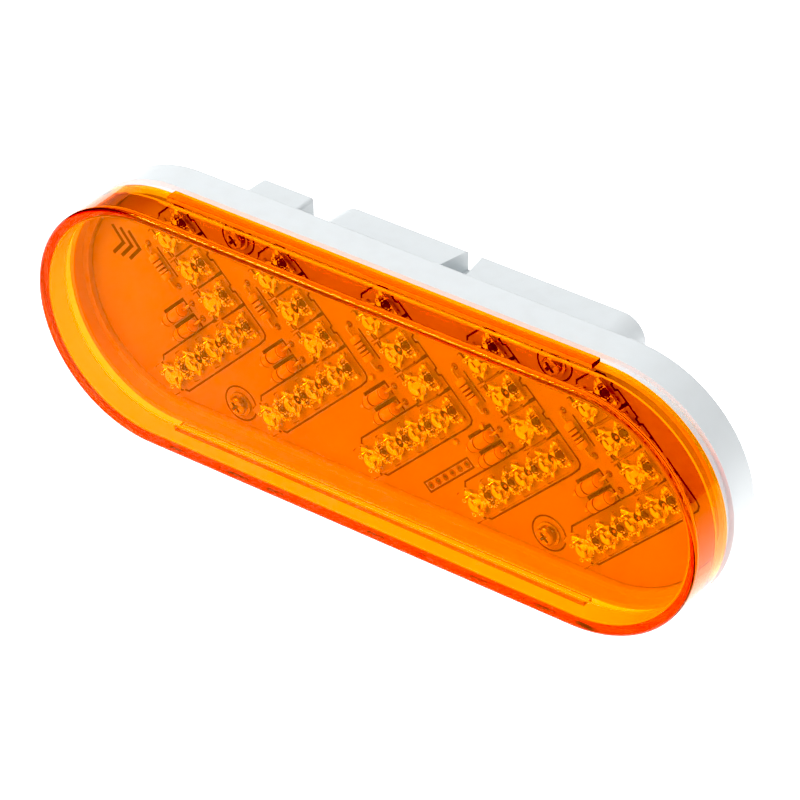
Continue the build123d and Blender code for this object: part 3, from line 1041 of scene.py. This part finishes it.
# ---------------------------------------------------------------- the tray and what is fixed in its back
@dataclass
class Tray:
    """The white tray with its boxes and plug socket, and the seal, contacts and resin in it."""

    contacts: tuple[str, ...] = ("ground_contact", "tail_contact", "turn_contact")

    def build(self) -> None:
        """Dresses the tray and its fixed parts."""
        stand_for(dress(refined("housing", "tray", 30), WHITE_TRAY), "white_housing", "housing")
        stand_for(dress(refined("contact_potting", "tail_resin"), RESIN), "resin", "contact_potting")
        for node in self.contacts:
            stand_for(dress(refined(node, node.replace("contact", "pin")), BRASS), "brass_contact", node)
        dress_node("lens_seal", SEAL)


# ---------------------------------------------------------------- the board and its print
@dataclass
class Board:
    """The board, its printed outlines and its pads. Print is placed in millimetres from a corner light."""

    layout: Layout
    plan: BoardPlan
    print_rise: float = 0.03 * MM
    thin: float = 0.4 * MM
    thick: float = 0.75 * MM
    screw_ring: float = 4.08 * MM
    pad_radius: float = 0.62 * MM
    pad_width: float = 0.4 * MM
    pad_rise: float = 0.04 * MM
    side: float = 4.45  # the outline's outer side
    dent: tuple[float, float, float] = (0.9, 0.6, 3.75)  # beside each light: half mouth, half floor, side
    bend: tuple[Place, ...] = ((2.6, 4.45), (3.75, 4.17), (4.45, 3.2), (4.7, 1.04))  # round the corner light
    elbow: tuple[Place, ...] = ((-5.6, -4.6), (-4.9, -4.85), (-4.7, -5.6))  # inside the two arms
    arm_ends: tuple[float, float] = (-4.4, -3.9)  # past the last lights' middles
    corner_cut: float = 1.2
    diode_side: float = -1.75
    diode_ends: tuple[float, float] = (-17.9, -11.0)
    diode_caps: tuple[float, float] = (-18.1, -10.8)
    cap_span: tuple[float, float] = (-1.5, 1.3)
    resistor_side: float = 1.5
    resistor_ends: tuple[float, float] = (-23.9, -16.7)
    header_frame: tuple[float, float] = (1.2, 7.6)  # half its width and half its length
    header_shift: float = -0.02
    chevron: tuple[Place, ...] = ((-72.2, 12.4), (-69.6, 9.2), (-72.2, 6.0))  # in plan
    chevron_shifts: tuple[float, ...] = (0.0, 2.2, 4.4)
    chevron_width: float = 0.8 * MM
    dash_start: Place = (7.6, 21.0)  # in plan
    dash_length: float = 1.1
    dash_pitch: float = 1.9
    dash_width: float = 0.64 * MM
    dashes: int = 6
    divider: tuple[float, float, float] = (-4.2, 0.5, 4.2)  # its thin end, where it thickens, its thick end

    def line(self, points: list[Place], width: float) -> list[bpy.types.Object]:
        """Adds a printed line on the board.

        Args:
            points: the line's points, in plan.
            width: the line's width.

        Returns:
            Its strokes.
        """
        return path_of(points, width, self.layout.board_front, self.print_rise)

    def arrow_line(self, arrow: int, points: list[Place], width: float) -> list[bpy.types.Object]:
        """Adds a printed line beside an arrowhead.

        Args:
            arrow: the arrowhead, from 0.
            points: the line's points, across and along from the corner light.
            width: the line's width.

        Returns:
            Its strokes.
        """
        return self.line([self.layout.on_arrow(arrow, *point) for point in points], width)

    def arrow_outline(self, arrow: int) -> list[bpy.types.Object]:
        """Adds the printed outline round an arrowhead and the dashes between its upper lights.

        Args:
            arrow: the arrowhead, from 0.

        Returns:
            Its strokes.
        """
        step = self.layout.pitch / MM
        upper_end, lower_end = (end - LIGHTS_PER_ARM * step for end in self.arm_ends)
        mouth, floor, dent_side = self.dent
        cut, right, left = self.corner_cut, self.bend[-1][0], self.elbow[-1][0]
        outer = [(upper_end, self.side - cut), (upper_end + cut, self.side)]
        for light in range(LIGHTS_PER_ARM, 0, -1):
            middle = -light * step
            outer += [(middle - mouth, self.side), (middle - floor, dent_side)]
            outer += [(middle + floor, dent_side), (middle + mouth, self.side)]
        outer += [*self.bend, (right, lower_end + cut), (right - cut, lower_end)]
        inner_side = self.elbow[0][1]
        inner = [(upper_end, cut + inner_side), (upper_end + cut, inner_side), *self.elbow]
        inner += [(left, lower_end + cut), (cut + left, lower_end)]
        strokes = []
        for points in (outer, inner, [outer[0], inner[0]], [outer[-1], inner[-1]]):
            strokes += self.arrow_line(arrow, points, self.thin)
        thin_end, change, thick_end = self.divider
        for light in range(LIGHTS_PER_ARM):
            gap = -(light + 0.5) * step
            strokes += self.arrow_line(arrow, [(gap, change), (gap, thick_end)], self.thick)
            strokes += self.arrow_line(arrow, [(gap, thin_end), (gap, change)], self.thin)
        return strokes

    def part_outlines(self, arrow: int) -> list[bpy.types.Object]:
        """Adds the printed marks beside an arrowhead's diodes and resistor.

        Args:
            arrow: the arrowhead, from 0.

        Returns:
            Their strokes.
        """
        strokes = []
        for row in self.plan.diode_rows:
            side = [(row + self.diode_side, along) for along in self.diode_ends]
            strokes += self.arrow_line(arrow, side, self.thick)
            for along in self.diode_caps:
                cap = [(row + shift, along) for shift in self.cap_span]
                strokes += self.arrow_line(arrow, cap, self.thin)
        for side in (-self.resistor_side, self.resistor_side):
            along = self.plan.resistor_along + side
            strokes += self.arrow_line(arrow, [(end, along) for end in self.resistor_ends], self.thin)
        return strokes

    def header_outline(self) -> list[bpy.types.Object]:
        """Adds the printed frame round the row of programming pads.

        Returns:
            Its strokes.
        """
        across, along = self.plan.header_across, self.plan.header_along + self.header_shift
        wide, long = self.header_frame
        turns = ((-1, -1), (1, -1), (1, 1), (-1, 1), (-1, -1))
        frame = [(across + x * wide, along + y * long) for x, y in turns]
        return self.arrow_line(self.plan.header_arrow, frame, self.thin)

    def plain_marks(self) -> list[bpy.types.Object]:
        """Adds the plain printed chevrons at the lamp's left end and the dash row at its top.

        Returns:
            Their strokes.
        """
        strokes = []
        for shift in self.chevron_shifts:
            points = [((x + shift) * MM, y * MM) for x, y in self.chevron]
            strokes += self.line(points, self.chevron_width)
        first, height = self.dash_start
        for index in range(self.dashes):
            start = first + self.dash_pitch * index
            ends = [(x * MM, height * MM) for x in (start, start + self.dash_length)]
            strokes += self.line(ends, self.dash_width)
        return strokes

    def finish_on_board(self, name: str, pieces: list[bpy.types.Object], finish: Finish) -> None:
        """Joins shapes made in plan into one piece and sets it on the board.

        Args:
            name: the piece's name.
            pieces: the shapes.
            finish: the piece's finish.
        """
        joined = join(name, pieces)
        joined.data.transform(ONTO_BOARD)
        stand_for(dress(joined, finish), "board")

    def build(self) -> None:
        """Dresses the board and adds its print and pads."""
        stand_for(dress(refined("circuit_board", "lacquered_board"), BOARD), "board", "circuit_board")
        for arrow in range(ARROWS):
            strokes = self.arrow_outline(arrow) + self.part_outlines(arrow)
            self.finish_on_board(f"arrow_print_{arrow + 1}", strokes, PRINT)
        base = self.layout.board_front
        rings = [
            ring(self.screw_ring, self.thin, base, self.print_rise, place) for place in self.plan.screws()
        ]
        self.finish_on_board("screw_rings", rings, PRINT)
        self.finish_on_board("header_print", self.header_outline(), PRINT)
        self.finish_on_board("chevron_and_dash_marks", self.plain_marks(), PRINT)
        pads = [
            ring(self.pad_radius, self.pad_width, base, self.pad_rise, place)
            for place in self.plan.header() + self.plan.lead_holes()
        ]
        self.finish_on_board("lead_pads", pads, AGED_PAD)


# ---------------------------------------------------------------- the lights
@dataclass
class Light:
    """One square light: a plated lead frame on four pins under a clear body with a dome."""

    width: float = 7.6 * MM
    pad: float = 0.9 * MM
    plate: float = 0.5 * MM
    body: float = 1.6 * MM
    corner: float = 0.5 * MM
    notch: float = 1.3 * MM
    dome: float = 2.2 * MM
    dome_sink: float = 0.4 * MM
    pin_pitch: float = 5.08 * MM
    pin: float = 0.5 * MM
    pin_length: float = 3.2 * MM
    arm: float = 1.15 * MM
    eyelet: float = 0.52 * MM
    eyelet_bore: float = 0.24 * MM
    eyelet_across: float = 1.75 * MM
    eyelet_along: float = 2.8 * MM
    eyelet_proud: float = 0.1 * MM
    eyelet_clearance: float = 0.03 * MM
    eyelet_rim: float = 0.08 * MM
    eyelet_dip: float = 0.06 * MM
    grip: float = 0.3 * MM
    hub: float = 1.2 * MM
    arm_edge: float = 0.12 * MM
    bridge_edge: float = 0.1 * MM
    tie_edge: float = 0.15 * MM
    pin_edge: float = 0.08 * MM
    body_edge: float = 0.1 * MM
    # size and place of the painted shade spot, a dark spot for the dark patch that the dome shows
    shade_spot_size: Vector = field(default_factory=lambda: Vector((1.15, 1.05, 0.3)) * MM)
    shade_spot_inset: float = 0.2 * MM
    shade_spot_height: float = 0.25 * MM
    die_half_diagonal: ClassVar[float] = 0.25 * math.sqrt(2) * MM

    @property
    def plate_top(self) -> float:
        """The height of the lead frame's face."""
        return self.pad + self.plate

    @property
    def foot(self) -> float:
        """The height of the body's underside, a little below the face of the frame that it holds."""
        return self.plate_top - self.grip

    def eyelet_places(self) -> list[Place]:
        """Gives the plan places of the four eyelets."""
        along, across = self.eyelet_along, self.eyelet_across
        return [(x, y) for x in (-along, along) for y in (-across, across)]

    def lead_frame(self) -> bpy.types.Object:
        """Models the crossed plate, its pins and its eyelets.

        Returns:
            The lead frame.
        """
        height = self.pad + self.plate / 2
        middle = Vector((0, 0, height))
        reach = self.pin_pitch * math.sqrt(2) + self.arm
        solids = [bar(self.hub, self.plate, middle, sides=32)]
        for turn in (EIGHTH, -EIGHTH):
            arm = block(Vector((reach, self.arm, self.plate)), middle, turn)
            solids.append(soften(arm, self.arm_edge))
        bridge = block(Vector((2 * self.eyelet_along, self.arm, self.plate)), middle)
        solids.append(soften(bridge, self.bridge_edge))
        tie_size = Vector((2 * self.eyelet, 2 * self.eyelet_across + 2 * self.eyelet, self.plate))
        for end in (-1, 1):
            tie = block(tie_size, Vector((end * self.eyelet_along, 0, height)))
            solids.append(soften(tie, self.tie_edge))
        half = self.pin_pitch / 2
        pin_size = Vector((self.pin, self.pin, self.pin_length))
        for x, y in ((-half, -half), (-half, half), (half, -half), (half, half)):
            pin = block(pin_size, Vector((x, y, self.pad - self.pin_length / 2)))
            solids.append(soften(pin, self.pin_edge))
        solids += [self.eyelet_tube(x, y) for x, y in self.eyelet_places()]
        return join("lead_frame_pattern", solids)

    def eyelet_tube(self, x: float, y: float) -> bpy.types.Object:
        """Models one rolled eyelet.

        Args:
            x: its place along.
            y: its place across.

        Returns:
            The eyelet.
        """
        length = self.body + self.eyelet_proud
        middle = Vector((x, y, self.plate_top + length / 2))
        tube = bar(self.eyelet, length, middle, sides=20)
        pick_faces(tube, lambda centre, normal: normal.z > 0.9)
        bpy.ops.mesh.inset(thickness=self.eyelet_rim, depth=self.eyelet_dip)
        bpy.ops.mesh.inset(thickness=self.eyelet - self.eyelet_bore - self.eyelet_rim, depth=0)
        bpy.ops.mesh.extrude_region_move(TRANSFORM_OT_translate={"value": (0, 0, -length * 0.8)})
        leave_edit()
        return tube

    def moulding(self) -> bpy.types.Object:
        """Models the clear body with its notch, its eyelet holes and its dome.

        Returns:
            The body.
        """
        deep = self.body + self.grip
        middle = Vector((0, 0, self.foot + deep / 2))
        body = block(Vector((self.width, self.width, deep)), middle)
        edit(body, "EDGE")
        for edge in body.data.edges:
            low, high = (body.data.vertices[v].co for v in edge.vertices)
            edge.select = abs(low.z - high.z) > self.body / 2
        bpy.ops.object.mode_set(mode="EDIT")
        bpy.ops.mesh.bevel(offset=self.corner, segments=4, affect="EDGES")
        leave_edit()
        combine(body, bar(self.notch / 2, 3 * self.body, Vector((self.width / 2, 0, middle.z))), "DIFFERENCE")
        for x, y in self.eyelet_places():
            place = Vector((x, y, middle.z))
            hole = bar(self.eyelet + self.eyelet_clearance, 3 * self.body, place, sides=20)
            combine(body, hole, "DIFFERENCE")
        soften(body, self.body_edge, angle=50)
        ball_height = self.plate_top + self.body - self.dome_sink
        bpy.ops.mesh.primitive_uv_sphere_add(
            segments=32, ring_count=24, radius=self.dome, location=(0, 0, ball_height)
        )
        dome = settle(active())
        edit(dome, "FACE")
        bpy.ops.object.mode_set(mode="EDIT")
        bpy.ops.mesh.select_all(action="SELECT")
        cut_height = ball_height - self.dome_sink
        bpy.ops.mesh.bisect(plane_co=(0, 0, cut_height), plane_no=(0, 0, 1), use_fill=True, clear_inner=True)
        leave_edit()
        combine(body, dome, "UNION")
        return even_normals(smooth(body))

    def shade_spot(self) -> bpy.types.Object:
        """Models a dark spot at the frame's outer end: painted shade standing in for the dark patch that the
        dome shows there.

        Returns:
            The dark spot.
        """
        bpy.ops.mesh.primitive_uv_sphere_add(segments=20, ring_count=12, radius=1.0)
        shade_spot = active()
        shade_spot.scale = self.shade_spot_size
        shade_spot.location = (self.eyelet_along - self.shade_spot_inset, 0, self.plate_top + self.shade_spot_height)
        return smooth(settle(shade_spot), 60)

    def build(self, layout: Layout) -> None:
        """Models one light and sets seven on each arrowhead.

        Args:
            layout: where things are.
        """
        frame_pattern = smooth(self.lead_frame())
        body_pattern = self.moulding()
        shade_spot_pattern = self.shade_spot()
        for arrow in range(ARROWS):
            seats = [layout.seat(place) for place in layout.light_places(arrow)]
            number = arrow + 1
            frames = repeat(f"lead_frames_{number}", frame_pattern, seats)
            stand_for(dress(frames, PLATING), "plated_frame", f"light_frames_{number}")
            bodies = repeat(f"light_mouldings_{number}", body_pattern, seats)
            stand_for(dress(bodies, CLEAR_RESIN), "clear_resin", f"light_bodies_{number}")
            # these dark spots are painted shade, set where each dome shows a dark patch
            stand_for(dress(repeat(f"light_beads_{number}", shade_spot_pattern, seats), PAINTED_DOME_SHADE), "black_moulding")
            dress_node(f"light_dies_{number}", CRYSTAL)
        drop(frame_pattern, body_pattern, shade_spot_pattern)


# ---------------------------------------------------------------- parts with wire ends
@dataclass
class Axials:
    """The rectifier diodes on the lower arms and the ballast resistors on the upper arms."""

    diode_radius: float = 1.35 * MM
    diode_length: float = 6.5 * MM
    diode_band: float = 0.45 * MM
    diode_band_place: float = -0.9 * MM
    diode_end_ring: float = 0.22 * MM
    diode_end_inset: float = 0.45 * MM
    diode_edge: float = 0.3 * MM
    ring_proud: float = 0.02 * MM
    resistor_radius: float = 0.85 * MM
    cap_radius: float = 1.05 * MM
    cap_length: float = 1.5 * MM
    cap_edge: float = 0.4 * MM
    resistor_length: float = 6.0 * MM
    band_proud: float = 0.015 * MM
    band_width: float = 0.42 * MM
    band_places: tuple[float, ...] = (-1.55, -0.6, 0.35, 1.5)  # millimetres from its middle
    standoff: float = 0.1 * MM

    def diode_body(self) -> bpy.types.Object:
        """Models a diode's moulded body along x, seated on z = 0."""
        middle = Vector((0, 0, self.diode_radius + self.standoff))
        return soften(bar(self.diode_radius, self.diode_length, middle, Along.X, 32), self.diode_edge, 4)

    def diode_stripe(self) -> bpy.types.Object:
        """Models the band round a diode's body and the dark seam near each of its ends.

        Returns:
            The band and seams.
        """
        height = self.diode_radius + self.standoff
        radius = self.diode_radius + self.ring_proud
        rings = [bar(radius, self.diode_band, Vector((self.diode_band_place, 0, height)), Along.X, 32)]
        for end in (-1, 1):
            place = end * (self.diode_length / 2 - self.diode_end_inset)
            rings.append(bar(radius, self.diode_end_ring, Vector((place, 0, height)), Along.X, 32))
        return join("ring_pattern", rings)

    def resistor_body(self) -> bpy.types.Object:
        """Models a resistor's body, thicker at both ends, along x and seated on z = 0.

        Returns:
            The body.
        """
        height = self.cap_radius + self.standoff
        waist = self.resistor_length - self.cap_length
        body = bar(self.resistor_radius, waist, Vector((0, 0, height)), Along.X, 28)
        for end in (-1, 1):
            place = Vector((end * waist / 2, 0, height))
            cap = soften(bar(self.cap_radius, self.cap_length, place, Along.X, 28), self.cap_edge, 4)
            combine(body, cap, "UNION")
        return body

    def resistor_bands(self) -> bpy.types.Object:
        """Models the four colour bands of a resistor.

        Returns:
            The bands.
        """
        height = self.cap_radius + self.standoff
        radius = self.resistor_radius + self.band_proud
        bands = [
            bar(radius, self.band_width, Vector((place * MM, 0, height)), Along.X, 28)
            for place in self.band_places
        ]
        return join("band_pattern", bands)

    def build(self, layout: Layout, plan: BoardPlan) -> None:
        """Sets the diodes and resistors on the board.

        Args:
            layout: where things are.
            plan: where the board's parts stand.
        """
        lower_seats = [layout.seat(place) for place in plan.diodes()]
        upper_seats = [layout.seat(place, 3 * EIGHTH) for place in plan.resistors()]
        diode, resistor = ["rectifier_diodes"], ["ballast_resistors"]
        sets = (
            ("diode_mouldings", self.diode_body(), lower_seats, DIODE_BODY, "diode_body", diode),
            ("diode_bands", self.diode_stripe(), lower_seats, BAND, "diode_body", []),
            ("resistor_bodies", self.resistor_body(), upper_seats, RESISTOR_BODY, "resistor_body", resistor),
            ("resistor_bands", self.resistor_bands(), upper_seats, BAND, "resistor_body", []),
        )
        for name, pattern, seats, finish, slot, replaced in sets:
            piece = repeat(name, smooth(pattern, 40), seats)
            stand_for(dress(piece, finish), slot, *replaced)
            drop(pattern)
        for node in ("rectifier_diode_leads", "ballast_resistor_leads", "filter_capacitor_leads"):
            stand_for(dress(refined(node, f"{node}_wire"), TINNED), "tinned_wire", node)


# ---------------------------------------------------------------- screws and the parts on the board's back
@dataclass
class Screw:
    """A cross-headed board screw with a flange."""

    flange_radius: float = 2.75 * MM
    flange: float = 0.5 * MM
    head_radius: float = 2.1 * MM
    head: float = 1.4 * MM
    shank_radius: float = 1.2 * MM
    shank: float = 6.2 * MM
    recess_length: float = 2.7 * MM
    recess_width: float = 0.7 * MM
    recess: float = 1.0 * MM
    recess_edge: float = 0.1 * MM
    flange_edge: float = 0.12 * MM
    head_edge: float = 0.6 * MM
    head_sink: float = 0.1 * MM  # how far the head reaches into the flange
    thread_pitch: float = 0.9 * MM
    thread_root: float = 0.85  # of the shank's radius
    thread_depth: float = 0.14  # of the shank's radius

    def pattern(self) -> bpy.types.Object:
        """Models the screw, seated on z = 0.

        Returns:
            The screw.
        """
        flange = bar(self.flange_radius, self.flange, Vector((0, 0, self.flange / 2)), sides=40)
        soften(flange, self.flange_edge)
        top = self.flange + self.head
        head_length = self.head + self.head_sink
        head = bar(self.head_radius, head_length, Vector((0, 0, top - head_length / 2)), sides=40)
        pick_edges(head, lambda place: place.z > top - EDGE_REACH)
        bpy.ops.mesh.bevel(offset=self.head_edge, segments=6, affect="EDGES")
        leave_edit()
        for turn in (0.0, QUARTER):
            size = Vector((self.recess_length, self.recess_width, 2 * self.recess))
            slot = soften(block(size, Vector((0, 0, top)), turn), self.recess_edge)
            combine(head, slot, "DIFFERENCE")
        root = self.shank_radius * self.thread_root
        shank = bar(root, self.shank, Vector((0, 0, -self.shank / 2)), sides=20)
        turns = int(self.shank / self.thread_pitch)
        threads = [self.thread(-(index + 0.5) * self.thread_pitch) for index in range(turns)]
        return smooth(join("screw_pattern", [flange, head, shank, *threads]))

    def thread(self, height: float) -> bpy.types.Object:
        """Adds one turn of the thread.

        Args:
            height: its height.

        Returns:
            The turn.
        """
        bpy.ops.mesh.primitive_torus_add(
            major_segments=20,
            minor_segments=4,
            major_radius=self.shank_radius * self.thread_root,
            minor_radius=self.shank_radius * self.thread_depth,
            location=(0, 0, height),
        )
        return settle(active())

    def build(self, layout: Layout, places: list[Place]) -> None:
        """Sets the screws on the board.

        Args:
            layout: where things are.
            places: the screws' plan places.
        """
        pattern = self.pattern()
        piece = repeat("cross_head_screws", pattern, [layout.seat(place) for place in places])
        stand_for(dress(piece, SCREW_STEEL), "screw_steel", "board_screws")
        drop(pattern)


@dataclass
class BackParts:
    """The chip, the power parts and the capacitor behind the board."""

    mouldings: tuple[str, ...] = ("controller_chip", "polarity_diode", "surge_suppressor")
    metal: tuple[str, ...] = ("controller_chip_legs", "polarity_diode_tabs", "surge_suppressor_tabs")

    def build(self) -> None:
        """Dresses the parts."""
        for node in self.mouldings:
            dress_node(node, BLACK)
        for node in self.metal:
            dress_node(node, TINNED)
        can = dress(refined("filter_capacitor", "capacitor_can"), CAN)
        stand_for(can, "capacitor_can", "filter_capacitor")


# ---------------------------------------------------------------- studio
@dataclass(frozen=True)
class SoftBox:
    """A square studio lamp aimed at the object."""

    name: str
    place: Vector
    size: float
    power: float
    colour: Colour = PLAIN_WHITE

    def build(self) -> None:
        """Adds the lamp."""
        light = bpy.data.lights.new(self.name, "AREA")
        light.shape = "SQUARE"
        light.size = self.size
        light.energy = self.power
        light.color = self.colour
        lamp = bpy.data.objects.new(self.name, light)
        bpy.context.scene.collection.objects.link(lamp)
        lamp.location = self.place
        lamp.rotation_euler = (-self.place).to_track_quat("-Z", "Y").to_euler()


@dataclass
class Studio:
    """The floor, the lamps, the sky and the camera."""

    floor_height: float = -0.25
    floor_size: float = 6.0
    floor_glow: float = 1.2  # the floor is a lit table
    black_level: float = 0.06
    sky: float = 0.5
    eye: Vector = field(default_factory=lambda: Vector((409.4, -553.8, 471.1)) * MM)
    forward: Vector = field(default_factory=lambda: Vector((-0.4909, 0.6583, -0.5707)))
    right: Vector = field(default_factory=lambda: Vector((0.8056, 0.5923, -0.0097)))
    focal_length: float = 183.7  # millimetres
    sensor: float = 36.0  # millimetres
    boxes: tuple[SoftBox, ...] = (
        SoftBox("overhead", Vector((-0.1, -0.2, 1.1)), 1.0, 4.0),
        SoftBox("front", Vector((-0.6, -1.1, 0.35)), 0.7, 3.5),
        SoftBox("edge strip", Vector((-0.59, -0.68, 0.79)), 0.33, 9.5),
        SoftBox("right", Vector((1.2, -0.15, 0.25)), 0.35, 2.0, (1.0, 0.96, 0.95)),
    )

    def build(self) -> None:
        """Sets up the studio."""
        self.set_view()
        self.add_sky()
        self.add_floor()
        for box in self.boxes:
            box.build()
        self.add_camera()

    def set_view(self) -> None:
        """Sets how light becomes picture: plain, with a small black level."""
        view = bpy.context.scene.view_settings
        view.view_transform = "Standard"
        view.use_curve_mapping = True
        view.curve_mapping.black_level = [self.black_level] * 3
        view.curve_mapping.update()

    def add_sky(self) -> None:
        """Adds an even white sky."""
        world = bpy.data.worlds.new("studio sky")
        bpy.context.scene.world = world
        world.use_nodes = True
        sky = world.node_tree.nodes["Background"]
        sky.inputs["Color"].default_value = (*PLAIN_WHITE, 1.0)
        sky.inputs["Strength"].default_value = self.sky

    def add_floor(self) -> None:
        """Adds the lit table."""
        bpy.ops.mesh.primitive_plane_add(size=self.floor_size, location=(0, 0, self.floor_height))
        floor = dress(active(), FLOOR_PAPER)
        floor.name = "studio_floor"
        table = floor.active_material.node_tree.nodes["Principled BSDF"]
        table.inputs["Emission Color"].default_value = (*PLAIN_WHITE, 1.0)
        table.inputs["Emission Strength"].default_value = self.floor_glow

    def add_camera(self) -> None:
        """Adds the camera at the eye, looking forward."""
        lens = bpy.data.cameras.new("studio camera")
        lens.sensor_width = self.sensor
        lens.lens = self.focal_length
        lens.clip_start = 0.01
        camera = bpy.data.objects.new("studio camera", lens)
        bpy.context.scene.collection.objects.link(camera)
        back = -self.forward.normalized()
        up = back.cross(self.right).normalized()
        side = up.cross(back)
        turn = Matrix((side, up, back)).transposed().to_4x4()
        camera.matrix_world = Matrix.Translation(self.eye) @ turn
        bpy.context.scene.camera = camera


def main() -> None:
    """Builds the lamp's looks around the CAD frame."""
    logging.basicConfig(level=logging.INFO, format="%(message)s")
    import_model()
    Effects.build()
    layout = Layout.read()
    plan = BoardPlan(layout)
    Lens(layout).build()
    Tray().build()
    Board(layout, plan).build()
    Light().build(layout)
    Axials().build(layout, plan)
    Screw().build(layout, plan.screws())
    BackParts().build()
    Studio().build()


if __name__ == "__main__":
    main()
